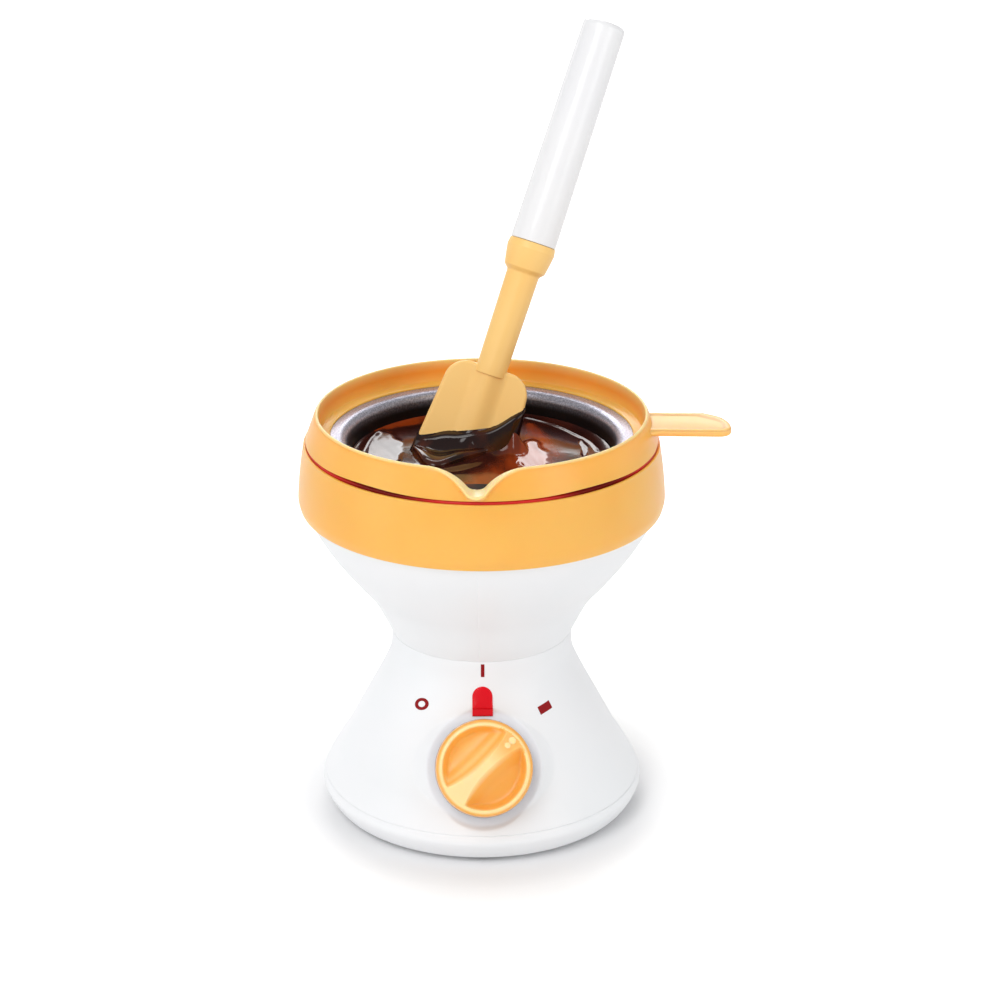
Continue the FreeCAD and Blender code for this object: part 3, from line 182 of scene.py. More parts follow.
def makeFinishes():
    made = {}
    # whiteShell's deeper tone is a painted blue-grey shade round the knob's pad
    made["whiteShell"] = mouldedPlastic("whiteShell", rgb(240, 241, 243), rgb(238, 240, 242), 0.4, 0.03,
                                        {"Specular IOR Level": 0.35}, rgb(236, 241, 248))
    made["whiteHandle"] = mouldedPlastic("whiteHandle", rgb(241, 241, 242), rgb(239, 239, 241), 0.24, 0.02)
    # the deeper tone is painted shade: at the knob's skirt and in the tab's dish for orangePlastic, and for orangeRim a
    # saturated painted shade and translucent glow on the rim's inner wall; the paler tone of both is painted highlight
    for name, shaded in (("orangePlastic", rgb(128, 66, 24)), ("orangeRim", rgb(255, 150, 40))):
        made[name] = mouldedPlastic(name, rgb(255, 184, 82), rgb(253, 178, 74), 0.34, 0.05,
                                    {"Coat Weight": 0.2, "Coat Roughness": 0.3, "Specular IOR Level": 0.45,
                                     "Subsurface Weight": 0.35, "Subsurface Scale": 0.006,
                                     "Subsurface Radius": (1.0, 0.42, 0.1)}, shaded, rgb(255, 233, 174))
    made["orangeSilicone"] = mouldedPlastic("orangeSilicone", rgb(255, 209, 127), rgb(255, 204, 119), 0.38, 0.05)
    # redSeal's deeper tone is painted shade in the gap under the rim
    made["redSeal"] = mouldedPlastic("redSeal", rgb(215, 30, 22), rgb(200, 24, 18), 0.42, 0.08, None, rgb(34, 8, 6))
    made["redMark"] = mouldedPlastic("redMark", rgb(146, 14, 20), rgb(136, 10, 16), 0.6, 0.02,
                                       {"Specular IOR Level": 0.2})
    made["greyRubber"] = mouldedPlastic("greyRubber", rgb(96, 97, 99), rgb(82, 83, 85), 0.7, 0.25)
    made["blackBushing"] = mouldedPlastic("blackBushing", rgb(42, 42, 43), rgb(34, 34, 36), 0.55, 0.2)
    made["blackCase"] = mouldedPlastic("blackCase", rgb(44, 44, 46), rgb(36, 36, 38), 0.5, 0.2)
    made["paleBlock"] = mouldedPlastic("paleBlock", rgb(222, 217, 200), rgb(212, 206, 188), 0.5, 0.1)
    made["thermostatBody"] = mouldedPlastic("thermostatBody", rgb(58, 46, 40), rgb(46, 36, 32), 0.45, 0.1)
    made["lensRed"] = mouldedPlastic("lensRed", rgb(228, 0, 26), rgb(216, 0, 22), 0.24, 0.02,
                                     {"Coat Weight": 0.1, "Coat Roughness": 0.1, "Specular IOR Level": 0.3})
    made["screwSteel"] = plainMetal("screwSteel", rgb(196, 197, 200), rgb(168, 169, 174), 0.32, (1, 1, 6), 240.0)
    made["spacerSteel"] = plainMetal("spacerSteel", rgb(186, 187, 190), rgb(160, 160, 164), 0.38, (1, 1, 5), 200.0)
    made["shieldSteel"] = plainMetal("shieldSteel", rgb(200, 201, 203), rgb(172, 174, 178), 0.36, (1, 1, 1), 90.0)
    made["clampAluminium"] = plainMetal("clampAluminium", rgb(205, 206, 208), rgb(188, 189, 192), 0.34, (1, 1, 12), 150.0)
    made["wellAluminium"] = plainMetal("wellAluminium", rgb(208, 209, 211), rgb(186, 187, 190), 0.33, (1, 1, 14), 130.0)
    made["elementSteel"] = plainMetal("elementSteel", rgb(118, 112, 108), rgb(84, 74, 70), 0.5, (1, 1, 1), 120.0)
    made["brassShaft"] = plainMetal("brassShaft", rgb(206, 172, 96), rgb(186, 150, 78), 0.3, (1, 1, 8), 200.0)

    lamp = Finish("lampGlass", {"Transmission Weight": 0.8, "IOR": 1.45})
    lamp.give("Base Color", lamp.blend(lamp.grain(300.0), rgb(250, 190, 150), rgb(240, 150, 110)))
    made["lampGlass"] = lamp
    made["bowlMetal"] = bowlFinish()
    made["chocolate"] = chocolateFinish("chocolate")
    made["coating"] = chocolateFinish("coating", darker=True)
    made["thinCoating"] = chocolateFinish("thinCoating", darker=True, rough=0.45, mirror=0.05)
    return {name: finish.material for name, finish in made.items()}


def bowlFinish():
    # speckled satin grey on the flange and its round shoulder, near black down the wall
    finish = Finish("bowlMetal", {"Metallic": 0.7})
    x, y, z = finish.axes(finish.place())
    radius = (x * x + y * y).root()
    wall = radius.ramp(0.0553, 0.0541)
    speck = finish.grain(1400.0, 4.0)
    cloud = finish.grain(70.0, 2.0)
    flange = finish.blend(speck.ramp(0.42, 0.6), rgb(160, 161, 176), rgb(198, 199, 212))
    coat = finish.blend(speck.ramp(0.6, 0.75), rgb(26, 20, 21), rgb(50, 42, 42))
    finish.give("Base Color", finish.blend(wall, flange, coat))
    finish.give("Roughness", cloud * 0.1 + wall * 0.02 + 0.3)
    finish.relief(speck, 0.12, 0.0001)
    return finish


def chocolateFinish(name, darker=False, rough=0.07, mirror=0.5):
    finish = Finish(name, {"Specular IOR Level": mirror})
    paleAndReflectedShare = finish.node("ShaderNodeAttribute", {"attribute_name": "milk"}, output=2)
    streak = finish.grain(60.0, 3.0, (1.0, 1.0, 0.4))
    deep = finish.blend(streak.ramp(0.35, 0.7), rgb(44, 14, 10), rgb(66, 24, 14))
    if darker:
        finish.give("Base Color", finish.blend(streak.ramp(0.45, 0.7), rgb(30, 11, 9), rgb(80, 32, 12)))
    else:
        # paler brown streaks, the one at the back left a painted reflection of the orange rim
        finish.give("Base Color", finish.blend(paleAndReflectedShare, deep, rgb(146, 56, 14)))
    finish.give("Roughness", streak * 0.08 + rough)
    finish.relief(finish.grain(90.0, 2.0), 0.12, 0.0008)
    return finish


finishes = makeFinishes()
print("finishes made:", len(finishes))


# Shape helpers. Pieces are drawn in millimetres, in the frame's own axes

def rounded(corners, steps=6):
    # a closed outline; a corner with a third number is rounded by that radius
    outline = []
    count = len(corners)
    for i, corner in enumerate(corners):
        here = Vector(corner[:2])
        if len(corner) < 3:
            outline.append(here)
            continue
        before = (Vector(corners[i - 1][:2]) - here).normalized()
        after = (Vector(corners[(i + 1) % count][:2]) - here).normalized()
        half = before.angle(after) / 2
        reach = corner[2] / math.tan(half)
        centre = here + (before + after).normalized() * (corner[2] / math.sin(half))
        outline += arc(here + before * reach, here + after * reach, centre, steps)
    return outline


def arc(start, end, centre, steps):
    a = Vector(start) - Vector(centre)
    b = Vector(end) - Vector(centre)
    sweep = a.angle(b)
    if sweep < 1e-6:
        return [Vector(start)]
    points = []
    for k in range(steps + 1):
        t = k / steps
        points.append(Vector(centre) + (a * math.sin((1 - t) * sweep) + b * math.sin(t * sweep)) / math.sin(sweep))
    return points


def through(points, perSpan=8):
    # a smooth line through points, with evenly divided spans
    points = [Vector(p) for p in points]
    ends = [points[0] * 2 - points[1]] + points + [points[-1] * 2 - points[-2]]
    line = []
    for i in range(1, len(ends) - 2):
        a, b, c, d = ends[i - 1:i + 3]
        for k in range(perSpan):
            t = k / perSpan
            line.append(0.5 * (2 * b + (c - a) * t + (2 * a - 5 * b + 4 * c - d) * t * t
                               + (3 * b - a - 3 * c + d) * t * t * t))
    line.append(points[-1])
    return line


def valueAt(line, z):
    # the radius of a line of (r, z) points at a height
    for a, b in zip(line, line[1:]):
        if min(a[1], b[1]) <= z <= max(a[1], b[1]) and a[1] != b[1]:
            return a[0] + (b[0] - a[0]) * (z - a[1]) / (b[1] - a[1])
    return line[0][0] if abs(z - line[0][1]) < abs(z - line[-1][1]) else line[-1][0]


def evenAngles(count):
    return [math.tau * i / count for i in range(count)]


def finerAngles(middle, spread, fine, coarse):
    # one turn, with fine steps up to spread each side of the middle; all in degrees
    near = int(round(2 * spread / fine))
    rest = int(round((360 - 2 * spread) / coarse))
    steps = [middle - spread + 2 * spread * i / near for i in range(near)]
    steps += [middle + spread + (360 - 2 * spread) * i / rest for i in range(rest)]
    return [math.radians(a) for a in steps]


def turned(outline, angles, at=None):
    # an outline of (r, z) turned about the pot's axis; angle 0 is the front, -Y
    points = []
    faces = []
    rows = len(outline)
    for i, angle in enumerate(angles):
        for r, z in (at(angle) if at else outline):
            points.append(Vector((r * math.sin(angle), -r * math.cos(angle), z)))
        j = (i + 1) % len(angles)
        for a in range(rows):
            b = (a + 1) % rows
            faces.append((i * rows + a, j * rows + a, j * rows + b, i * rows + b))
    return points, faces


def joined(*shapes):
    points = []
    faces = []
    for more, sides in shapes:
        first = len(points)
        points += more
        faces += [tuple(first + i for i in side) for side in sides]
    return points, faces


def moved(shape, matrix):
    return [matrix @ Vector(p) for p in shape[0]], shape[1]


def stacked(rings, ends=True):
    # rings with the same number of points, joined one to the next and closed at both ends
    points = [Vector(p) for ring in rings for p in ring]
    count = len(rings[0])
    faces = []
    for i in range(len(rings) - 1):
        for a in range(count):
            b = (a + 1) % count
            faces.append((i * count + a, i * count + b, (i + 1) * count + b, (i + 1) * count + a))
    if ends:
        faces.append(tuple(range(count)))
        faces.append(tuple(range((len(rings) - 1) * count, len(rings) * count)))
    return points, faces


def piece(name, shape, finish, body, replaced=(), sharp=38.0, tidy=True):
    mesh = bpy.data.meshes.new(name)
    mesh.from_pydata([Vector(p) * mm for p in shape[0]], [], shape[1])
    if tidy:
        work = bmesh.new()
        work.from_mesh(mesh)
        bmesh.ops.remove_doubles(work, verts=work.verts, dist=2e-6)
        bmesh.ops.recalc_face_normals(work, faces=work.faces)
        work.to_mesh(mesh)
        work.free()
    mesh.shade_smooth()
    mesh.set_sharp_from_angle(angle=math.radians(sharp))
    mesh.materials.append(finishes[finish])
    made = bpy.data.objects.new(name, mesh)
    bpy.context.scene.collection.objects.link(made)
    if body:
        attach(made, body)
    if replaced:
        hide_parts(*replaced)
    return made


def toned(made, kind, amountAt):
    # how much of a finish's painted highlight (paler tone) or painted shade (deeper tone) each point takes, 0 to 1
    attribute = made.data.attributes.new(kind, "FLOAT", "POINT")
    attribute.data.foreach_set("value", [amountAt(vertex.co / mm) for vertex in made.data.vertices])


def upTo(value):
    return min(1.0, max(0.0, value))


def applied(made):
    # the piece's mesh with its modifiers worked in
    graph = bpy.context.evaluated_depsgraph_get()
    result = bpy.data.meshes.new_from_object(made.evaluated_get(graph))
    made.modifiers.clear()
    made.data = result
    return made


# Lower body: bell and bottom cover

base = {
    "seam": (66.3, 14.0),
    "bell": [(66.3, 14.0), (64.4, 18.0), (61.0, 24.0), (57.2, 30.0), (49.4, 45.0), (41.6, 60.0), (38.0, 69.0),
             (37.4, 77.4)],
    "neckTop": 78.0,
    "neckRadius": 37.4,
    "shoulder": 0.15,
    "wall": 2.4,
    "seamGroove": 0.35,
    "coverSide": [(60.5, 1.5), (63.9, 3.6), (67.3, 10.0), (66.3, 14.0)],
}
panel = {"centre": (0, -52.988, 38.1), "rise": 27.5, "padRadius": 23.4, "sunk": 1.0, "flare": 40.0,
         "shadeEnd": 24.2}

bellLine = through(base["bell"], 10)
rise = math.radians(panel["rise"])
panelAxes = Matrix(((1, 0, 0), (0, math.sin(rise), -math.cos(rise)), (0, math.cos(rise), math.sin(rise))))
panelPlace = Matrix.Translation(panel["centre"]) @ panelAxes.to_4x4()


def softLimit(value, width):
    # value above zero, eased to zero below it
    return 0.5 * (value + math.sqrt(value * value + width * width))


def withPad(point):
    # the bell's surface with the knob's round pad pressed into the slope
    local = panelPlace.inverted() @ point
    across = math.hypot(local.x, local.y)
    beyond = softLimit(across - panel["padRadius"], 0.5)
    low = -panel["sunk"] - beyond / math.tan(math.radians(panel["flare"]))
    high = -panel["sunk"] + beyond
    height = low + softLimit(local.z - low, 0.5)
    height = high - softLimit(high - height, 0.5)
    return panelPlace @ Vector((local.x, local.y, height))


def makeBase():
    rows = [Vector((66.0 - base["wall"], 14.0)), Vector((66.05, 14.02)), Vector((66.22, 14.25))]
    z = 14.7
    while z < base["neckTop"] - base["shoulder"]:
        rows.append(Vector((valueAt(bellLine, z), z)))
        z += 0.45
    first = 2
    last = len(rows)
    shoulder = base["shoulder"]
    neck = base["neckRadius"]
    top = base["neckTop"]
    rows += arc((neck, top - shoulder), (neck - shoulder, top), (neck - shoulder, top - shoulder), 8)
    rows += [Vector((33.0, top)), Vector((14.0, top)), Vector((14.0, top - base["wall"])),
             Vector((34.6, top - base["wall"]))]
    z = 74.0
    while z > 15.0:
        rows.append(Vector((min(valueAt(bellLine, z), 64.6) - base["wall"] * 1.12, z)))
        z -= 3.0
    points, faces = turned(rows, finerAngles(0, 46, 0.42, 2.0))
    count = len(rows)
    for i, point in enumerate(points):
        if first <= i % count < last and point.y < -20 and 12 < point.z < 68:
            points[i] = withPad(point)
    outlet = makeOutlet()
    bell = piece("bellShell", joined((points, faces), outlet), "whiteShell", "base", ["base_housing"], 50)
    away = panelPlace.inverted()

    # painted shade: a blue-grey tone on the bell round the knob, within the pad
    def padShade(point):
        local = away @ point
        across = math.hypot(local.x, local.y)
        if local.z < -8 or across > panel["shadeEnd"]:
            return 0.0
        return 0.9 * upTo((panel["shadeEnd"] - across) / 1.5)

    toned(bell, "recess", padShade)

    side = through(base["coverSide"], 10)
    edge = side[:-1]
    inner = [Vector((p[0] - base["wall"], max(p[1], 4.0))) for p in reversed(edge) if p[1] > 3.9]
    cover = [Vector((0, 1.5))] + edge + [Vector((66.2, 13.75)), Vector((65.95, 13.95)), Vector((63.8, 13.95))]
    cover += [Vector((62.4, 13.95)), Vector((62.4, 16.5)), Vector((60.8, 16.5)), Vector((60.8, 12.2))]
    cover += inner[2:] + [Vector((0, 4.0))]
    made = piece("bottomCover", turned(cover, evenAngles(216)), "whiteShell", "base", ["base_cover"])
    cutters = []
    for k in range(4):
        for radius, reach, turn, high in ((3.1, 52.0, 45, 4.3), (6.6, 52.0, 0, 2.5)):
            angle = math.radians(turn + 90 * k)
            rings = [[(reach * math.cos(angle) + radius * math.cos(a), reach * math.sin(angle) + radius * math.sin(a), h)
                      for a in evenAngles(40)] for h in (-2, high)]
            cutters.append(stacked(rings))
    tool = piece("coverCutter", joined(*cutters), "whiteShell", None)
    hollow = made.modifiers.new("hollow", "BOOLEAN")
    hollow.operation = "DIFFERENCE"
    hollow.solver = "EXACT"
    hollow.object = tool
    applied(made)
    bpy.data.objects.remove(tool)


def makeOutlet():
    # round boss of the cord outlet at the back, with its sunk face
    outline = rounded([(4.9, 52.0), (9.8, 52.0), (9.8, 61.6, 0.6), (8.2, 61.6, 0.4), (8.2, 60.5), (4.9, 60.5)], 4)
    points, faces = turned(outline, evenAngles(64))
    turn = Matrix.Rotation(math.radians(-90), 4, "X")
    return moved((points, faces), Matrix.Translation((0, 0, 27.5)) @ turn)


makeBase()
print("base made")


# Marks printed round the knob, and the lens of the pilot lamp

marks = {
    "lift": 0.05,
    # width, height, angle from the front, height on the bell, turn
    "bar": (1.46, 5.6, -0.44, 74.35, 0.0),
    "ring": (6.7, 5.0, -36.2, 58.1, 15.0),
    "ringStroke": 0.5,             # share of the ring's size that stays open
    "block": (6.45, 3.45, 35.6, 56.5, 12.0),
}


def bellRadius(z):
    start = base["neckTop"] - base["shoulder"]
    if z <= start:
        return valueAt(bellLine, z)
    over = min(1.0, (z - start) / base["shoulder"])
    return base["neckRadius"] - base["shoulder"] * (1 - math.sqrt(1 - over * over))


def onBell(angle, z, lift):
    # a point just above the bell's skin, angle in radians from the front
    r = bellRadius(z)
    slope = valueAt(bellLine, min(z, 75) - 0.5) - valueAt(bellLine, min(z, 75) + 0.5)
    tilt = math.atan(slope)
    r += lift * math.cos(tilt)
    return Vector((r * math.sin(angle), -r * math.cos(angle), z + lift * math.sin(tilt)))


def printed(outline, mark, lift):
    # an outline in the mark's own plane, laid on the bell
    width, height, angle, z, turn = marks[mark]
    tilt = math.atan((valueAt(bellLine, min(z, 75) - 1) - valueAt(bellLine, min(z, 75) + 1)) / 2)
    c, s = math.cos(math.radians(turn)), math.sin(math.radians(turn))
    ring = []
    for x, y in outline:
        across, along = (x * width * c - y * height * s) / 2, (x * width * s + y * height * c) / 2
        ring.append(onBell(math.radians(angle) + across / valueAt(bellLine, z), z + along * math.cos(tilt), lift))
    return ring


def makeMarks():
    corners = [(-1, -1), (1, -1), (1, 1), (-1, 1)]
    square = [(a[0] + (b[0] - a[0]) * k / 8, a[1] + (b[1] - a[1]) * k / 8)
              for a, b in zip(corners, corners[1:] + corners[:1]) for k in range(8)]
    for name in ("bar", "block"):
        rings = [printed(square, name, lift) for lift in (-0.3, marks["lift"])]
        inner = [(x * 0.5, y * 0.5) for x, y in square]
        rings = [printed(inner, name, -0.3)] + rings + [printed(inner, name, marks["lift"])]
        piece("mark_" + name, stacked(rings), "redMark", "base")
    turn = [(math.cos(a), math.sin(a)) for a in evenAngles(56)]
    small = [(x * marks["ringStroke"], y * marks["ringStroke"]) for x, y in turn]
    rings = [printed(outline, "ring", lift) for outline, lift in
             ((small, -0.3), (small, marks["lift"]), (turn, marks["lift"]), (turn, -0.3), (small, -0.3))]
    piece("mark_ring", stacked(rings, ends=False), "redMark", "base")


lens = {"width": 8.3, "bottom": 21.0, "step": 23.9, "top": 33.0, "proud": 0.45, "round": 0.5, "stripDrop": 0.5,
        "aside": -0.4}


def bellAbove(x, y):
    # height of the bell's skin over the panel's plane
    low, high = -6.0, 6.0
    for _ in range(30):
        h = (low + high) / 2
        p = panelPlace @ Vector((x, y, h))
        if math.hypot(p.x, p.y) > bellRadius(p.z):
            high = h
        else:
            low = h
    return h


def lensRing(shrink, low, rise):
    # a rectangle with a half-round top; low is its foot, and it stands rise above the bell's skin
    half = lens["width"] / 2 - shrink
    centre = lens["top"] - lens["width"] / 2
    ring = [(half * (k / 6 - 1), low + shrink) for k in range(13)]
    ring += [(half, low + shrink + (centre - low - shrink) * k / 5) for k in range(1, 5)]
    ring += [(half * math.cos(a), centre + half * math.sin(a)) for a in [math.pi * k / 28 for k in range(29)]]
    ring += [(-half, low + shrink + (centre - low - shrink) * k / 5) for k in range(4, 0, -1)]
    return [(x, y, max(0.0, bellAbove(x, y)) + rise) for x, y in ring]


def makeLens():
    proud = lens["proud"]
    rings = [lensRing(0.0, lens["step"], -4.5)]
    for k in range(6):
        a = math.pi / 2 * k / 5
        rings.append(lensRing(lens["round"] * (1 - math.cos(a)), lens["step"], proud - lens["round"] * (1 - math.sin(a))))
    rings += [lensRing(1.4, lens["step"], proud + 0.1), lensRing(2.6, lens["step"], proud + 0.16)]
    main = stacked(rings)
    half = lens["width"] / 2
    step, bottom = lens["step"], lens["bottom"]
    top = proud - lens["stripDrop"]
    profile = [(step + 0.1, top), (bottom + 0.3, top - 0.1), (bottom, top - 0.4), (bottom, -4.0), (step + 0.1, -4.0)]
    strip = [[(x, y, h) for y, h in profile] for x in (-half, half)]
    shape = moved(joined(main, stacked(strip)), panelPlace @ Matrix.Translation((lens["aside"], 0, 0)))
    piece("pilotLens", shape, "lensRed", "base", ["lamp_lens"], 35)


makeMarks()
makeLens()
print("marks and lens made")


# Control knob: two dished hollows beside a grip bar

knob = {
    "radius": 19.9, "face": 19.4, "low": -0.6, "high": 13.9, "edge": 2.0, "turn": 46.0,
    "paleEnd": 18.7,
    "dish": 5.4, "wallTop": 17.1, "wallRun": 2.2, "floorHalf": 8.4, "soft": 0.8, "floorSoft": 1.8,
    "waist": 1.3, "flare": (2.9, 2.1), "flareAt": 15.0,
    # distance from the centre, radius, height
    "pips": [(15.6, 1.5, 0.9), (12.9, 1.2, 0.6)],
}


def dished(x, y):
    # depth of the hollows beside the grip bar at a point of the knob's face; y runs along the bar
    half = knob["waist"] + knob["flare"][y > 0] * (y / knob["flareAt"]) ** 2
    a = (abs(x) - half) * knob["dish"] / max(2.0, knob["floorHalf"] - half)
    b = (knob["wallTop"] - math.hypot(x, y)) * knob["dish"] / knob["wallRun"]
    soft = knob["soft"]
    low = min(a, b)
    depth = low - soft * math.log(math.exp((low - a) / soft) + math.exp((low - b) / soft))
    if depth < -3:
        return 0.0
    depth = 0.5 * (depth + math.sqrt(depth * depth + 0.03)) - 0.02
    return max(0.0, knob["dish"] - softLimit(knob["dish"] - depth, knob["floorSoft"]))


def makeKnob():
    columns = 360
    radii = [0.15 * k for k in range(1, 125)]
    edge = knob["edge"]
    outline = [(r, knob["high"]) for r in radii if r < knob["face"] - edge - 0.05]
    corner = knob["face"] - edge
    outline += [tuple(p) for p in arc((corner, knob["high"]), (knob["face"], knob["high"] - edge),
                                      (corner, knob["high"] - edge), 7)]
    outline += [(knob["face"] + (knob["radius"] - knob["face"]) * k / 6, knob["high"] - edge
                 + (knob["low"] + 0.3 - knob["high"] + edge) * k / 6) for k in range(1, 7)]
    outline += [(knob["radius"] - 0.3, knob["low"])]
    points = []
    for r, z in outline:
        for a in evenAngles(columns):
            x, y = r * math.sin(a), r * math.cos(a)
            depth = dished(x, y) if z == knob["high"] else 0.0
            for distance, width, height in knob["pips"]:
                near = math.hypot(x, y - distance) / width
                depth -= height * math.sqrt(1 - near * near) if near < 1 else 0.0
            points.append(Vector((x, y, z - depth)))
    faces = []
    for i in range(len(outline) - 1):
        for k in range(columns):
            n = (k + 1) % columns
            faces.append((i * columns + k, (i + 1) * columns + k, (i + 1) * columns + n, i * columns + n))
    points += [Vector((0, 0, knob["high"])), Vector((0, 0, knob["low"]))]
    last = (len(outline) - 1) * columns
    for k in range(columns):
        n = (k + 1) % columns
        faces += [(len(points) - 2, k, n), (len(points) - 1, last + n, last + k)]
    place = panelPlace @ Matrix.Rotation(math.radians(-knob["turn"]), 4, "Z")
    made = piece("controlKnob", moved((points, faces), place), "orangePlastic", "knob",
                 ["control_knob"], 60)
    away = place.inverted()

    # painted shade: a dark ring round the knob's skirt, and a little on the right of its face
    def skirtShade(point):
        local = away @ point
        radius = math.hypot(local.x, local.y)
        if radius > knob["face"] - 1.2:
            return 0.1 + 0.85 * upTo((5.5 - local.z) / 2.5)
        depth = knob["high"] - local.z
        return 0.1 * upTo(depth / 3) if local.x > 0 else 0.0

    # painted highlight: paler on the rim band, the grip bar's top, the pips and a strip on the left slope, as lit from
    # the upper left
    def paintedFaceHighlight(point):
        local = away @ point
        radius = math.hypot(local.x, local.y)
        depth = knob["high"] - local.z
        raised = upTo(1.0 - depth / 1.6) * upTo((knob["paleEnd"] - radius) / 0.6)
        if abs(local.x) < 7 and local.y > 0 and radius < 17.4:
            raised *= 1 - 0.75 * upTo((local.y - 3.0) / 9.0)
            if depth < -0.1:
                raised = 1.0
        if local.x < 0 and abs(local.y) < 15:
            strip = math.exp(-((depth - 2.7) / 0.9) ** 2) * upTo((knob["floorHalf"] + 1.0 + local.x) / 1.5)
            raised = max(raised, 0.5 * strip)
        return 0.8 * raised

    toned(made, "recess", skirtShade)
    toned(made, "edge", paintedFaceHighlight)


makeKnob()
print("knob made")


# Upper body: bowl-shaped housing, collar and seal

upper = {
    "side": [(37.3, 78.06), (45.5, 94.0), (53.6, 104.0), (61.3, 114.0), (67.7, 124.0), (72.3, 133.5)],
    "wall": 2.4,
    "parting": (-2.6, 0.45, 0.12),     # angle from the front, half width, depth of the moulding line
}
collar = {"bottom": (74.1, 133.5), "widest": (75.0, 138.0), "top": (72.5, 160.0), "bulge": 0.35}


def makeUpper():
    side = through(upper["side"], 14)
    inner = [Vector((max(14.2, p[0] - upper["wall"] * 1.3), p[1] + 0.4)) for p in reversed(side[4:-2])]
    outline = [Vector((14.0, 78.02)), Vector((36.2, 78.02)), Vector((36.8, 78.02)), Vector((37.2, 78.03))] + side
    outline += [Vector((72.3, 137.3)), Vector((72.1, 137.5)), Vector((69.9, 137.5)), Vector((69.9, 133.5)),
                Vector((60.0, 133.5)), Vector((60.0, 131.1)), Vector((68.2, 131.1))]
    outline += [p for p in inner if p[1] < 131.0]
    outline += [Vector((32.2, 80.6)), Vector((14.0, 80.4))]
    middle, half, depth = upper["parting"]

    def at(angle):
        away = abs((angle - math.radians(middle) + math.pi) % math.tau - math.pi) * 60.0
        groove = depth * max(0.0, 1 - away / half)
        if not groove:
            return outline
        return [Vector((p[0] - groove, p[1])) if 4 <= i < 4 + len(side) else p for i, p in enumerate(outline)]

    angles = finerAngles(middle, 3, 0.1, 1.7)
    piece("upperShell", turned(outline, angles, at), "whiteShell", "base", ["upper_housing"])

    (r0, z0), (r1, z1), (r2, z2) = collar["bottom"], collar["widest"], collar["top"]
    outer = [Vector((r0 - 0.5, z0)), Vector((r0 - 0.12, z0 + 0.12)), Vector((r0 + 0.1, z0 + 0.5))]
    outer += [Vector((r0 + 0.1 + (r1 - r0 - 0.1) * math.sin(k * math.pi / 16), z0 + 0.5 + (z1 - z0 - 0.5) * k / 8))
              for k in range(1, 9)]
    for k in range(1, 16):
        t = k / 16
        outer.append(Vector((r1 + (r2 - r1) * t + 4 * collar["bulge"] * t * (1 - t), z1 + (z2 - 0.6 - z1) * t)))
    outer += rounded([(r2, z2 - 0.6), (r2, z2, 0.4), (r2 - 1.1, z2, 0.3), (r2 - 1.1, z2 - 2.0), (67.2, 158.0, 0.2),
                      (67.2, 154.0), (60.6, 154.0, 0.3), (60.6, 151.8), (69.2, 151.8), (69.2, 156.0), (70.3, 156.0),
                      (72.2, 150.0), (72.5, 138.0), (72.5, 133.5)], 4)
    piece("heaterCollar", turned(outer, evenAngles(240)), "orangePlastic", "base", ["heater_collar"])
    seal = rounded([(67.5, 158.05), (71.35, 158.05), (71.35, 161.0, 0.7), (67.5, 161.0, 0.5)], 6)

    def drawnIn(angle):
        # the seal's lip is drawn in and down on both sides of the spout, where a dark gap opens
        total = 0.0
        for middle in (-35.0, 40.0):
            aside = (math.degrees((angle + math.pi) % math.tau - math.pi) - middle) / 14.0
            total += math.exp(-aside * aside)
        return total

    def pressed(angle):
        give = drawnIn(angle)
        return [Vector((p[0] - 2.3 * give, p[1] - 0.9 * give)) if p[0] > 70 else p for p in seal]

    ring = piece("sealRing", turned(seal, evenAngles(240), pressed), "redSeal", "base", ["seal_ring"])
    # painted shade: the seal turns near black where it is drawn in, the shadow in the gap beside the spout
    toned(ring, "recess", lambda point: 0.6 * upTo(1.6 * drawnIn(math.atan2(point.x, -point.y)) - 0.25))


makeUpper()
print("upper body made")


# Pot: bowl, rim with spout and tab

pot = {
    "turn": -2.7,
    "floor": 126.0, "corner": 14.0, "lowRadius": 51.5, "mouth": 54.5, "shoulder": 4.0, "flangeTop": 162.9,
    "flangeRadius": 64.4, "sheet": 1.4,
}
rim = {
    "top": 173.0, "ledge": 163.9, "ledgeRadius": 61.5, "inner": 66.2, "innerLow": 65.6,
    "foot": (71.6, 161.3), "lean": 0.36,
    "spoutHalf": 19.5, "spoutRound": 5.0, "lip": 3.2, "lipRound": 1.0, "bead": 0.62,
    "lift": 0.75, "liftAt": 38.0, "liftSpread": 14.0,      # the foot bows up a little, in mm and degrees
}
tab = {"reach": 100.8, "width": 21.2, "top": 169.2, "thick": 3.0, "corner": 5.0, "border": 2.4, "dish": 0.5}


def bowlWall(grow, topZ):
    # the bowl's wall and floor from a height down to the axis, grown outwards
    radius = pot["corner"] + grow
    centreZ = pot["floor"] + pot["corner"]
    centreR = pot["lowRadius"] - pot["corner"]
    slope = (pot["mouth"] - pot["lowRadius"]) / (pot["flangeTop"] - pot["shoulder"] - centreZ)
    top = Vector((pot["lowRadius"] + grow + slope * (topZ - centreZ), topZ))
    line = [top, Vector((centreR + radius, centreZ))]
    line += arc((centreR + radius, centreZ), (centreR, centreZ - radius), (centreR, centreZ), 14)[1:]
    return line + [Vector((0, centreZ - radius))]


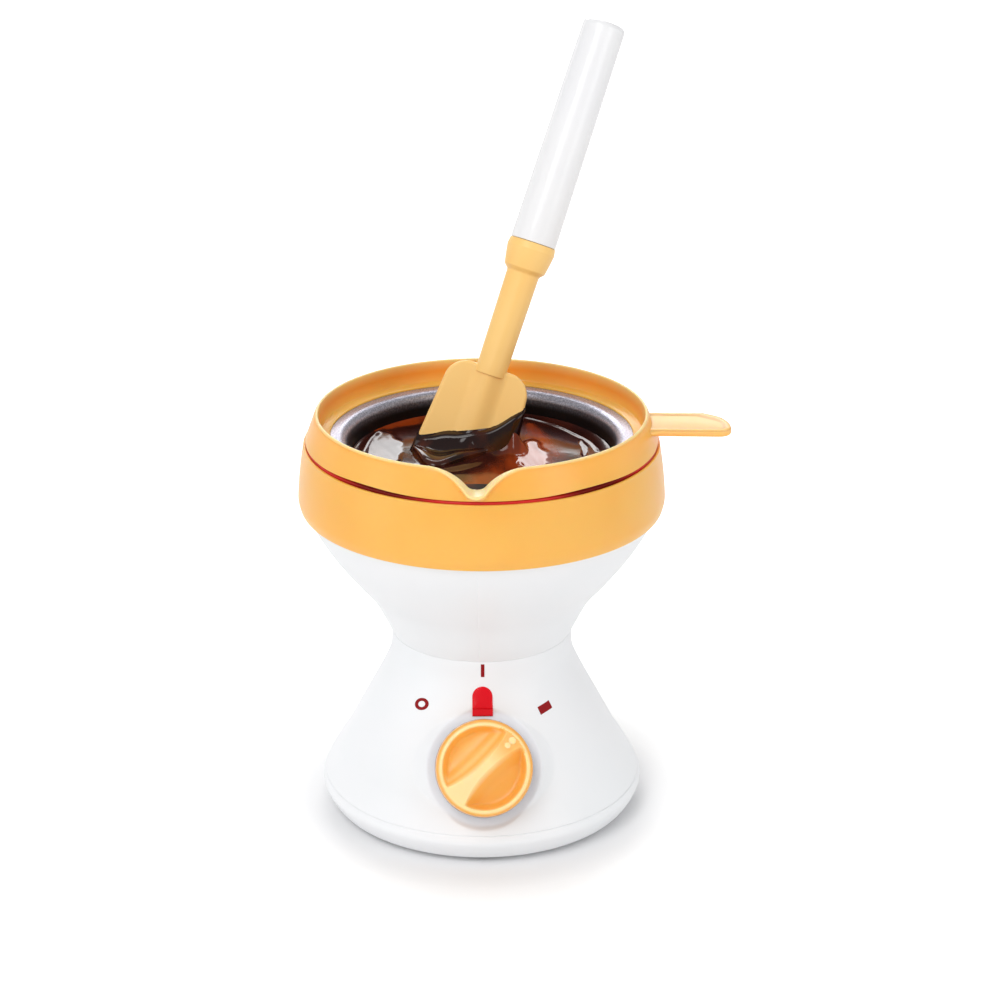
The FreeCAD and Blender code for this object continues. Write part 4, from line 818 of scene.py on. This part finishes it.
def makeBowl():
    shoulderZ = pot["flangeTop"] - pot["shoulder"]
    shoulderR = pot["mouth"] + pot["shoulder"]
    inner = bowlWall(0.0, shoulderZ)
    outer = bowlWall(pot["sheet"], shoulderZ)
    flangeLow = pot["flangeTop"] - pot["sheet"]
    outline = list(reversed(inner))
    outline += arc(inner[0], (shoulderR, pot["flangeTop"]), (shoulderR, shoulderZ), 10)[1:]
    outline += [Vector((62.0, pot["flangeTop"])), Vector((64.3, pot["flangeTop"])), Vector((64.4, pot["flangeTop"] - 0.1)),
                Vector((64.4, flangeLow))]
    outline += arc((shoulderR, flangeLow), outer[0], (shoulderR, shoulderZ), 10) + outer[1:]
    piece("bowlShell", turned(outline, evenAngles(216)), "bowlMetal", "pot", ["bowl"])


def spoutHeight(across):
    # height of the rim's edge at a distance from the spout's middle
    depth = rim["top"] - rim["ledge"]
    half = rim["spoutHalf"]
    low = rim["spoutRound"]
    total = (half * half + depth * depth) / (2 * depth)
    shoulder = total - low
    joint = low * half / total
    across = abs(across)
    if across >= half:
        return rim["top"]
    if across <= joint:
        return rim["ledge"] + low - math.sqrt(low * low - across * across)
    return rim["top"] - shoulder + math.sqrt(shoulder * shoulder - (half - across) ** 2)


def rimOutline(angle):
    turn = (angle - math.radians(pot["turn"]) + math.pi) % math.tau - math.pi
    across = 68.0 * math.sin(turn) if abs(turn) < 1.2 else 60.0
    edge = spoutHeight(across)
    drop = (rim["top"] - edge) / (rim["top"] - rim["ledge"])
    footR, footZ = rim["foot"]
    aside = (abs(math.degrees(turn)) - rim["liftAt"]) / rim["liftSpread"]
    footZ += rim["lift"] * math.exp(-aside * aside)

    def wallAt(z):
        return footR - rim["lean"] * (z - footZ)

    reach = wallAt(edge) + rim["lip"] * drop ** 0.8
    bead = rim["bead"] + (rim["lipRound"] - rim["bead"]) * min(1.0, drop * 2)
    fold = max(footZ + 0.25, edge - 1.2 - 3.4 * drop)
    outline = [Vector((footR - 0.25, footZ)), Vector((footR - 0.05, footZ + 0.06))]
    outline += [Vector((wallAt(footZ + (fold - footZ) * k / 5), footZ + (fold - footZ) * k / 5)) for k in range(1, 6)]
    a = Vector((wallAt(fold), fold))
    d = Vector((reach, edge - bead))
    b = a + Vector((-rim["lean"], 1.0)) * (d.y - a.y) * 0.35
    c = d - Vector((0.15 + 0.5 * drop, 1.0)).normalized() * (d - a).length * 0.4
    for k in range(1, 6):
        t = k / 6
        outline.append(a * (1 - t) ** 3 + b * 3 * t * (1 - t) ** 2 + c * 3 * t * t * (1 - t) + d * t ** 3)
    outline += arc(d, (reach - bead, edge), (reach - bead, edge - bead), 5)
    innerAt = rim["innerLow"] + (rim["inner"] - rim["innerLow"]) * (edge - rim["ledge"]) / 9.1
    small = max(0.04, min(0.6, (edge - rim["ledge"]) * 0.6))
    outline += arc((innerAt + small, edge), (innerAt, edge - small), (innerAt + small, edge - small), 4)
    low = min(rim["ledge"] + 0.7, edge - small - 0.01)
    outline.append(Vector((innerAt + (rim["innerLow"] - innerAt) * 0.5, (low + edge - small) / 2)))
    outline += [Vector((rim["innerLow"], low)), Vector((rim["innerLow"] - 0.18, rim["ledge"] + 0.02 + (low - rim["ledge"]) * 0.3)),
                Vector((rim["innerLow"] - 0.6, rim["ledge"] - 0.05))]
    open = min(1.0, max(0.0, (8.0 - abs(across)) / 2.5))
    ledge = rim["ledgeRadius"] + (64.55 - rim["ledgeRadius"]) * open * open * (3 - 2 * open)
    flange = pot["flangeTop"] + 0.05
    outline += [Vector((ledge + 0.25, rim["ledge"] - 0.2)), Vector((ledge, rim["ledge"] - 0.45)), Vector((ledge, flange)),
                Vector((64.6, flange)), Vector((64.6, 158.8)), Vector((66.8, 158.8)), Vector((66.8, 163.4)),
                Vector((68.6, 163.4)), Vector((69.6, footZ))]
    return outline


def tabOutline(shrink):
    half = tab["width"] / 2 - shrink
    reach = tab["reach"] - shrink
    corner = tab["corner"] - shrink
    root = 66.8
    outline = [(root, -half - 2.0 * (shrink == 0)), (70.4, -half - 0.6 * (shrink == 0)), (72.5, -half), (82.0, -half)]
    outline += [tuple(p) for p in arc((reach - corner, -half), (reach, -half + corner), (reach - corner, -half + corner), 8)]
    sweep = [(reach, -half + corner), (reach - 0.5, -1.6), (reach - 1.9, 2.6 - shrink * 0.4), (reach - 4.6, 6.8 - shrink),
             (90.5 - shrink, half)]
    outline += [tuple(p) for p in through(sweep, 6)[1:]]
    outline += [(82.0, half), (72.5, half), (70.4, half + 0.6 * (shrink == 0)), (root, half + 2.0 * (shrink == 0))]
    return outline


def makeRim():
    angles = finerAngles(pot["turn"], 21, 0.35, 1.9)
    ring = turned(rimOutline(0.0), angles, rimOutline)
    made = piece("potRim", ring, "orangeRim", "pot", ["pot_rim"], 45)

    def edgeAt(point):
        turn = math.atan2(point.x, -point.y) - math.radians(pot["turn"])
        return spoutHeight(68.0 * math.sin(turn) if abs(turn) < 1.2 else 60.0)

    # painted highlight: the rim's lip is paler near its top edge, more so down the spout
    def paintedLipHighlight(point):
        edge = edgeAt(point)
        deep = 1.1 + 2.5 * (rim["top"] - edge) / 9.0
        return 0.75 * upTo((point.z - edge + deep) / deep)

    # painted shade and translucent glow: the rim's inner wall is a deeper, more saturated orange
    def paintedInnerShade(point):
        inside = upTo((68.3 - math.hypot(point.x, point.y)) / 0.8)
        return 0.65 * inside * upTo((edgeAt(point) - 0.6 - point.z) / 2.0) * upTo((point.z - rim["ledge"] - 0.8) / 0.8)

    toned(made, "edge", paintedLipHighlight)
    toned(made, "recess", paintedInnerShade)
    top = tab["top"]
    low = top - tab["thick"]
    rings = []
    for shrink, z in ((0.9, low), (0.35, low + 0.1), (0.08, low + 0.45), (0.0, low + 1.0), (0.0, top - 0.9), (0.1, top - 0.4),
                      (0.4, top - 0.08), (0.8, top), (tab["border"] - 0.6, top), (tab["border"], top - 0.12),
                      (tab["border"] + 0.7, top - tab["dish"] + 0.08), (tab["border"] + 1.2, top - tab["dish"])):
        rings.append([(x, y, z) for x, y in tabOutline(shrink)])
    plate = moved(stacked(rings), Matrix.Rotation(math.radians(pot["turn"]), 4, "Z"))
    made = piece("tabHandle", plate, "orangePlastic", "pot", (), 40)
    # painted highlight: the tab is paler towards its top; painted shade: darker in its dish
    toned(made, "edge", lambda point: 0.4 * upTo((point.z - low) / tab["thick"]))
    toned(made, "recess", lambda point: 0.3 if top - tab["dish"] + 0.03 < point.z < top - 0.1 else 0.0)


makeBowl()
makeRim()
print("pot made")


# Melted chocolate: a folded, glossy surface that fills the bowl

chocolate = {
    "level": 153.0,
    # pulled up against the blade: for places across it, how high
    "climb": [(2.0, 0.0), (8.0, 1.2), (13.5, 5.0), (17.3, 9.0), (19.2, 11.5), (20.6, 8.5), (22.4, 3.5), (25.0, 0.0)],
    "bladeLine": ((-27.7, 8.9), (14.2, 6.7)),
    "folds": [
        # line on the surface, height of the fold, its half width
        ([(19.0, 46.5), (23.3, 44.0), (31.4, 37.3), (39.3, 26.1), (45.0, 16.3), (47.8, 6.8)], 0.55, 1.0),
        ([(-26.0, -14.0), (-12.0, -15.0), (0.0, -8.0), (10.0, 4.0)], -0.8, 3.0),
        ([(-47.5, -6.0), (-48.0, 8.0), (-45.5, 21.0), (-41.0, 31.0)], 0.8, 1.6),
    ],
    "slopes": [
        # middle, half sizes and forward slope of the parts that mirror the light
        ((-40.5, 10.0), (6.0, 16.0), 0.09),
        ((20.5, -2.0), (4.6, 15.0), 0.1),
        ((42.0, 9.0), (1.2, 7.0), 0.1),
    ],
    # middle and half width of the paler brown streaks; the second line, at the back on the left, is a painted
    # reflection of the orange rim
    "pale": [[(21.0, 38.0, 2.0), (23.0, 20.0, 6.0), (22.0, 2.0, 11.0), (12.0, -17.0, 11.0), (0.0, -34.0, 10.0)],
             [(-43.0, 31.0, 2.0), (-36.5, 38.0, 3.0), (-26.0, 45.0, 4.5)]],
}


def distanceTo(line, x, y):
    best = 1e9
    for (ax, ay), (bx, by) in zip(line, line[1:]):
        dx, dy = bx - ax, by - ay
        t = max(0.0, min(1.0, ((x - ax) * dx + (y - ay) * dy) / (dx * dx + dy * dy)))
        best = min(best, math.hypot(x - ax - t * dx, y - ay - t * dy))
    return best


def chocolateHeight(x, y, lines):
    height = 0.3 * noise.noise(Vector((x * 0.05, y * 0.05, 3.0)))
    for line, lift, width in lines:
        away = distanceTo(line, x, y) / width
        if away < 4:
            height += lift * math.exp(-away * away)
    (ax, ay), (bx, by) = chocolate["bladeLine"]
    ahead = ay + (by - ay) * (x - ax) / (bx - ax) - y
    across = x + 6.0
    climb = chocolate["climb"]
    if climb[0][0] < across < climb[-1][0]:
        rise = valueAt([(high, place) for place, high in climb], across)
        away = max(0.0, abs(ahead + 0.33 * rise) - 1.0) / (3.0 + 0.25 * rise)
        height += rise * math.exp(-away * away)
    u = x + 1.6 * noise.noise(Vector((x * 0.16, y * 0.16, 9.0)))
    v = y + 2.4 * noise.noise(Vector((x * 0.16, y * 0.16, 5.0)))
    for middle, half, slope in chocolate["slopes"]:
        far = math.hypot((u - middle[0]) / half[0], (v - middle[1]) / half[1])
        if far < 1.5:
            fade = min(1.0, (1.5 - far) / 0.6)
            fade = fade * fade * (3 - 2 * fade)
            ripple = 0.16 * noise.noise(Vector((x * 0.42 + y * 0.1, y * 0.11, 1.0)))
            height += (slope * (y - middle[1]) + ripple) * fade
    return height


# share of the paler brown tone: streaks, and at the back left a painted reflection of the orange rim
def paleStreaksAndRimReflectionAt(x, y):
    most = 0.0
    for chain in chocolate["pale"]:
        for a, b in zip(chain, chain[1:]):
            dx, dy = b[0] - a[0], b[1] - a[1]
            t = max(0.0, min(1.0, ((x - a[0]) * dx + (y - a[1]) * dy) / (dx * dx + dy * dy)))
            away = math.hypot(x - a[0] - t * dx, y - a[1] - t * dy) / (a[2] + (b[2] - a[2]) * t)
            most = max(most, upTo((1.35 - away) / 0.9))
    wisps = noise.noise(Vector((x * 0.12 + y * 0.05, y * 0.05, 7.0))) + 0.5 * noise.noise(Vector((x * 0.5, y * 0.12, 2.0)))
    return upTo(most * (0.95 + 0.75 * wisps))


def makeChocolate():
    lines = [([tuple(p) for p in through(line, 5)], lift, width) for line, lift, width in chocolate["folds"]]
    level = chocolate["level"]
    wall = bowlWall(-0.15, level)
    edgeRadius = wall[0][0]
    points = []
    milk = []
    columns, circles = 220, 120
    for i in range(1, circles + 1):
        r = edgeRadius * i / circles
        for a in evenAngles(columns):
            x, y = r * math.sin(a), -r * math.cos(a)
            near = min(1.0, (edgeRadius - r) / 3.0)
            z = level + chocolateHeight(x, y, lines) * (0.25 + 0.75 * near) + 0.7 * (1 - near) ** 2
            points.append(Vector((x, y, z)))
            milk.append(paleStreaksAndRimReflectionAt(x, y))
    faces = []
    for i in range(circles - 1):
        for k in range(columns):
            n = (k + 1) % columns
            faces.append((i * columns + k, i * columns + n, (i + 1) * columns + n, (i + 1) * columns + k))
    middle = len(points)
    points.append(Vector((0, 0, level + chocolateHeight(0, 0, lines))))
    milk.append(0.1)
    faces += [(middle, (k + 1) % columns, k) for k in range(columns)]
    last = (circles - 1) * columns
    for p in wall[1:-1]:
        ring = len(points)
        for a in evenAngles(columns):
            points.append(Vector((p[0] * math.sin(a), -p[0] * math.cos(a), p[1])))
            milk.append(0.0)
        for k in range(columns):
            n = (k + 1) % columns
            faces.append((last + k, last + n, ring + n, ring + k))
        last = ring
    points.append(Vector((0, 0, wall[-1][1])))
    milk.append(0.0)
    faces += [(len(points) - 1, last + k, last + (k + 1) % columns) for k in range(columns)]
    made = piece("chocolateFill", (points, faces), "chocolate", "pot", ["melted_chocolate"], 60, tidy=False)
    attribute = made.data.attributes.new("milk", "FLOAT", "POINT")
    attribute.data.foreach_set("value", milk)
    work = bmesh.new()
    work.from_mesh(made.data)
    bmesh.ops.recalc_face_normals(work, faces=work.faces)
    work.to_mesh(made.data)
    work.free()


run = {"level": 153.4, "flangeEnd": 64.2, "middle": 1.2, "thick": 0.5,
       # half width in mm at shares of the way from the chocolate to the rim
       "half": [(0.0, 10.0), (0.35, 8.0), (0.6, 7.0), (0.85, 5.6), (0.93, 4.2), (1.0, 2.4)]}


def makeRun():
    # chocolate left on the bowl's wall, shoulder and flange, down to the spout
    shoulderZ = pot["flangeTop"] - pot["shoulder"]
    shoulderR = pot["mouth"] + pot["shoulder"]
    wall = bowlWall(0.0, shoulderZ)[:2]
    path = [Vector((valueAt(wall, z), z)) for z in (run["level"] - 1, 154.5, 155.6, 156.7, 157.8)]
    path += arc(wall[0], (shoulderR, pot["flangeTop"]), (shoulderR, shoulderZ), 10)
    path += [Vector((r, pot["flangeTop"])) for r in (59.5, 60.5, 61.5, 62.5, 63.4, run["flangeEnd"])]
    path += [Vector((64.7, 163.35)), Vector((65.2, 163.8)), Vector((65.8, 163.95))]
    rings = []
    for i, spot in enumerate(path):
        along = (path[min(i + 1, len(path) - 1)] - path[max(i - 1, 0)]).normalized()
        out = Vector((-along.y, along.x))
        share = i / (len(path) - 1)
        half = valueAt([(h, s) for s, h in run["half"]], share) * (1 + 0.12 * noise.noise(Vector((share * 6, 0, 2))))
        top, under = [], []
        for k in range(25):
            t = k / 12 - 1
            angle = math.radians(pot["turn"]) + (run["middle"] + half * t) / spot.x
            lift = run["thick"] * math.sqrt(max(0.0, 1 - t * t)) * min(1.0, (1 - share) * 5 + 0.15)
            for rows, height in ((top, lift - 0.08), (under, -0.3)):
                r, z = spot + out * height
                rows.append((r * math.sin(angle), -r * math.cos(angle), z))
        rings.append(top + under[::-1])
    piece("chocolateRun", stacked(rings), "thinCoating", "pot", (), 60)


makeChocolate()
makeRun()
print("chocolate made")


# Spatula: blade with a spine, neck with its ferrule, round handle

spatula = {
    "through": (-6.75, 7.79, 153.0), "below": 17.0, "tilt": 25.0, "azimuth": 41.25, "turn": -47.0,
    "blade": 52.6, "tipHalf": 21.25, "topHalf": 17.7, "tipCorner": 8.0, "topCorner": 9.5,
    "tipThick": 0.85, "topThick": 1.7, "spineHalf": 7.4,
    "coatLine": [(-22.0, 16.3), (-21.0, 16.7), (-15.8, 18.9), (-7.6, 22.9), (-0.6, 25.4), (5.4, 28.4), (10.1, 32.0),
                 (13.8, 36.5), (17.4, 40.7), (22.0, 44.0)],
    "coat": 0.6, "swell": 3.0,
    # the roll in front of the blade: its top on the blade (across, along), its foot on the level (x, y)
    "rollTop": [(-20.9, 16.2), (-13.4, 20.0), (-7.3, 22.6), (-1.3, 25.2), (4.7, 27.9), (8.1, 29.4)],
    "rollFoot": [(-28.2, 4.5), (-23.5, -9.3), (-17.0, -11.7), (-8.1, -5.6), (1.0, 2.0), (7.6, 5.0)],
    "rollLip": 2.8,
}
spatulaTurn = (Matrix.Rotation(math.radians(spatula["azimuth"]), 4, "Z")
               @ Matrix.Rotation(math.radians(spatula["tilt"]), 4, "Y")
               @ Matrix.Rotation(math.radians(spatula["turn"]), 4, "Z"))
spatulaAxis = spatulaTurn @ Vector((0, 0, 1))
spatulaPlace = Matrix.Translation(Vector(spatula["through"]) - spatulaAxis * spatula["below"]) @ spatulaTurn


def bladeHalf(s):
    # half the blade's width at a distance from its tip
    tip, top = spatula["tipCorner"], spatula["topCorner"]
    start = spatula["blade"] - top
    if s < tip:
        return spatula["tipHalf"] - tip + math.sqrt(max(0.0, tip * tip - (tip - s) ** 2))
    if s > start:
        return spatula["topHalf"] - top + math.sqrt(max(0.0, top * top - (s - start) ** 2))
    return spatula["tipHalf"] + (spatula["topHalf"] - spatula["tipHalf"]) * (s - tip) / (start - tip)


def bladeThick(x, s):
    # half thickness: a flat plate, a spine along the middle, and round edges
    t = s / spatula["blade"]
    plate = spatula["tipThick"] + (spatula["topThick"] - spatula["tipThick"]) * t
    rise = max(0.0, min(1.0, s / spatula["blade"]))
    spread = spatula["spineHalf"] * (0.9 + 0.1 * t)
    spine = 0.0
    if abs(x) < spread:
        spine = (0.5 + 0.5 * math.cos(math.pi * x / spread)) ** 0.8 * (0.4 + 3.6 * rise)
    edge = min(bladeHalf(s) - abs(x), s * 0.9 + 0.001, (spatula["blade"] - s) * 1.2 + 0.001)
    ease = 1.0 if edge >= 1.4 else math.sqrt(max(0.0, 1 - (1 - edge / 1.4) ** 2))
    return (plate + spine) * ease


def bladeSheet(extra, limit):
    # closed blade surface, optionally thicker and stopped at a line along the blade
    ends = [0.0, 0.12, 0.35, 0.7, 1.1, 1.6]
    whole = spatula["blade"]
    rows = ends + [2.2 + (whole - 4.4) * k / 70 for k in range(71)] + [whole - s for s in reversed(ends)]
    across = [math.sin(math.pi / 2 * (k / 40 - 1)) for k in range(81)]
    rings = []
    for s in rows:
        half = bladeHalf(s)
        front = []
        back = []
        for t in across:
            x = half * t
            place = min(s, limit(x)) if limit else s
            thick = bladeThick(x, place) + (extra(x, s) if extra else 0.0)
            if extra:
                x = x * (1 + 0.5 / max(half, 1))
            front.append((x, -thick, place - (0.5 if extra and s < 1 else 0.0)))
            back.append((x, thick, place - (0.5 if extra and s < 1 else 0.0)))
        rings.append(front + back[::-1])
    return stacked(rings)


def makeRoll():
    # chocolate pushed up in front of the blade: a shelf that ends in a round lip
    tops = through([(*spot, 0.0) for spot in spatula["rollTop"]], 8)
    feet = through([(*spot, 0.0) for spot in spatula["rollFoot"]], 8)
    level = chocolate["level"]
    rings = []
    for i, (spot, foot) in enumerate(zip(tops, feet)):
        start = spatulaPlace @ Vector((spot.x, -bladeThick(spot.x, spot.y) - 0.5, spot.y))
        out = Vector((foot.x - start.x, foot.y - start.y, 0.0))
        reach = out.length
        out.normalize()
        high = start.z - level
        lip = min(spatula["rollLip"], high * 0.8) * (1 + 0.15 * math.sin(i * 0.35))
        line = through([(0.0, high, 0.0), (reach * 0.12, high * 0.72 + lip * 0.2, 0.0),
                        (reach * 0.4, max(lip * 0.9, high * 0.3), 0.0), (reach * 0.72, lip * 0.98, 0.0),
                        (reach * 0.9, lip * 0.8, 0.0), (reach * 0.985, lip * 0.35, 0.0), (reach, -1.2, 0.0)], 5)
        line += [Vector((reach * 0.6, -4.0, 0.0)), Vector((-1.0, -4.0, 0.0)), Vector((-1.2, high - 0.6, 0.0))]
        rings.append([Vector((start.x, start.y, level)) + out * p.x + Vector((0, 0, p.y)) for p in line])
    for end, step in ((0, 1), (-1, -2)):
        middle = sum(rings[end], Vector()) / len(rings[end])
        outward = (middle - sum(rings[step], Vector()) / len(rings[step])).normalized()
        extra = [middle + (p - middle) * 0.7 + outward * 0.9 for p in rings[end]]
        rings = [extra] + rings if end == 0 else rings + [extra]
    return stacked(rings)


def makeSpatula():
    piece("spatulaBlade", moved(bladeSheet(None, None), spatulaPlace), "orangeSilicone", "spatula",
          ["spatula_blade"], 55)
    edge = through(spatula["coatLine"], 4)

    def coatTop(x):
        for a, b in zip(edge, edge[1:]):
            if a[0] <= x <= b[0]:
                wave = 0.2 * math.sin(x * 0.57 + 1.0)
                return a[1] + (b[1] - a[1]) * (x - a[0]) / (b[0] - a[0]) + wave
        return edge[-1][1]

    def coatThick(x, s):
        left = coatTop(x) - s
        if left < 0:
            return -0.35
        swell = spatula["swell"] * (1 - (x / 23.0) ** 2) + 1.2 - bladeThick(x, s)
        inset = upTo((bladeHalf(s) - abs(x)) / 4.0)
        thick = spatula["coat"] + max(0.0, swell) * inset * (2 - inset)
        return -0.35 + (0.35 + thick) * math.sin(min(1.0, left / 2.6) * math.pi / 2)

    def coatEnd(x):
        return coatTop(x) + 0.6

    coat = moved(bladeSheet(coatThick, coatEnd), spatulaPlace)
    piece("bladeCoating", coat, "coating", "spatula", (), 60)
    piece("chocolateRoll", makeRoll(), "coating", "pot", (), 60)

    start = spatula["blade"]
    neck = rounded([(0, start - 3.2), (6.3, start - 3.2, 0.25), (6.35, start + 0.2), (6.8, start + 40.5, 1.5),
                    (8.6, start + 42.3, 1.2), (9.4, start + 46.6, 2.5), (10.0, start + 50.6, 1.0), (9.55, start + 53.45, 0.35),
                    (0, start + 53.45)], 6)
    piece("spatulaNeck", moved(turned(neck, evenAngles(96)), spatulaPlace), "orangeSilicone", "spatula",
          ["spatula_shaft"], 40)
    low = start + 53.6
    grip = rounded([(0, low), (9.5, low, 0.3), (8.7, low + 93.4, 2.4), (0, low + 93.4)], 8)
    piece("spatulaHandle", moved(turned(grip, evenAngles(96)), spatulaPlace), "whiteHandle", "spatula",
          ["spatula_handle"], 40)


makeSpatula()
print("spatula made")


# Pieces that keep their frame shape and take a finish

kept = {
    "rubber_feet": "greyRubber", "cord_gland": "blackBushing", "heater_well": "wellAluminium",
    "cover_screws": "screwSteel", "waist_screws": "screwSteel", "collar_screws": "screwSteel",
    "well_screws": "screwSteel", "shield_studs": "screwSteel", "shield_nuts": "screwSteel",
    "shield_spacers": "spacerSteel", "fuse_clip": "spacerSteel", "heating_element": "elementSteel",
    "heat_shield": "shieldSteel", "thermostat": "thermostatBody", "thermal_fuse": "clampAluminium",
    "switch_body": "blackCase", "switch_nut": "screwSteel", "switch_shaft": "brassShaft",
    "lamp_holder": "blackCase", "indicator_lamp": "lampGlass", "terminal_block": "paleBlock",
    "bowl_clamp_ring": "clampAluminium",
}
for node, finish in kept.items():
    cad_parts[node].data.materials.clear()
    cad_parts[node].data.materials.append(finishes[finish])
print("frame pieces finished:", len(kept))


# Floor, world, lamps and camera

studio = {
    "floor": rgb(250, 250, 250),
    "floorGlow": (0.02, 0.5),       # what the background rays see over the light on the floor, near and far
    "glowFrom": (0.072, 0.14),
    # painted shadow: the floor's colour is darker close round the pot
    "paintedFloorShadow": rgb(238, 238, 239),
    "shadeFrom": (0.068, 0.088),
    "ambient": 0.59,
    "ceiling": 0.28,                # reflections get darker above the white horizon
    "front": (0.1, -0.4),           # and towards the front, the dark side of the room
    "horizon": (0.16, 0.3),         # heights of direction between which they do
    "sun": ((-0.6, -0.9, 1.6), 24.0, 0.45),       # towards the lamp, apparent size in degrees, strength
    "lamps": [
        # place, aim, size, power, in metres and watts
        ((-1.1, -0.5, 0.42), (0, 0, 0.2), (0.6, 0.7), 1.5),
        ((-0.4, -1.05, 0.95), (0, 0, 0.1), (0.55, 0.5), 3.6),
        ((0.9, -0.85, 0.55), (0, 0, 0.1), (0.5, 0.7), 2.3),
        ((-0.1, 0.95, 0.72), (0, 0, 0.15), (0.7, 0.3), 3.2),
        ((0.05, 0.5, 0.85), (0, 0, 0.15), (0.5, 0.1), 0.8),
    ],
}


def addLamp(kind, name, towards, energy):
    light = bpy.data.lights.new(name, kind)
    light.energy = energy
    lamp = bpy.data.objects.new(name, light)
    lamp.rotation_mode = "QUATERNION"
    lamp.rotation_quaternion = (-Vector(towards)).to_track_quat("-Z", "Y")
    bpy.context.scene.collection.objects.link(lamp)
    return lamp


def makeStudio():
    sheet = bpy.data.meshes.new("floor")
    sheet.from_pydata([(-15, -15, 0), (15, -15, 0), (15, 15, 0), (-15, 15, 0)], [], [(0, 1, 2, 3)])
    floor = bpy.data.objects.new("floor", sheet)
    bpy.context.scene.collection.objects.link(floor)
    finish = Finish("floorPaper", {"Roughness": 0.9, "Specular IOR Level": 0.1, "Emission Strength": 1.0})
    x, y, z = finish.axes(finish.place())
    away = (x * x + y * y).root()
    far = away.ramp(*studio["glowFrom"])
    # painted shadow on the floor round the pot
    finish.give("Base Color", finish.blend(away.ramp(*studio["shadeFrom"]), studio["paintedFloorShadow"], studio["floor"]))
    near, most = [(glow,) * 3 + (1,) for glow in studio["floorGlow"]]
    finish.give("Emission Color", finish.blend(finish.background(0.2), (0, 0, 0, 1), finish.blend(far, near, most)))
    sheet.materials.append(finish.material)

    world = bpy.data.worlds.new("studio")
    bpy.context.scene.world = world
    world.use_nodes = True
    sky = Graph(world.node_tree)
    background = world.node_tree.nodes["Background"].inputs
    across, along, height = sky.axes(sky.node("ShaderNodeTexCoord"))
    dark = height.math("MAXIMUM", height.ramp(*studio["horizon"]), along.ramp(*studio["front"]))
    shown = 1.0 - dark * (1.0 - studio["ceiling"])
    seen = sky.background()
    sky.feed(background["Strength"], seen * shown + (1.0 - seen) * studio["ambient"])
    background["Color"].default_value = (1, 1, 1, 1)

    towards, spread, strength = studio["sun"]
    addLamp("SUN", "sun", towards, strength).data.angle = math.radians(spread)
    for number, (place, aim, size, power) in enumerate(studio["lamps"]):
        lamp = addLamp("AREA", "softbox%d" % number, Vector(place) - Vector(aim), power)
        lamp.location = place
        lamp.data.shape = "RECTANGLE"
        lamp.data.size, lamp.data.size_y = size


camera = {
    "place": (-0.01667, -1.00538, 0.52954),
    "right": (0.9997, -0.0232, 0.0021), "up": (0.0065, 0.366, 0.9306), "forward": (0.0223, 0.9303, -0.3661),
    "lens": 94.82,
}


def makeCamera():
    lensData = bpy.data.cameras.new("camera")
    lensData.sensor_width = 36.0
    lensData.lens = camera["lens"]
    lensData.clip_start = 0.05
    lensData.clip_end = 60.0
    made = bpy.data.objects.new("camera", lensData)
    bpy.context.scene.collection.objects.link(made)
    right, up = Vector(camera["right"]).normalized(), Vector(camera["up"])
    back = -Vector(camera["forward"])
    back = (back - right * back.dot(right)).normalized()
    up = back.cross(right)
    axes = Matrix((right, up, back)).transposed().to_4x4()
    made.matrix_world = Matrix.Translation(camera["place"]) @ axes
    bpy.context.scene.camera = made


makeStudio()
makeCamera()
bpy.context.scene.view_settings.view_transform = "Standard"

print("studio made")
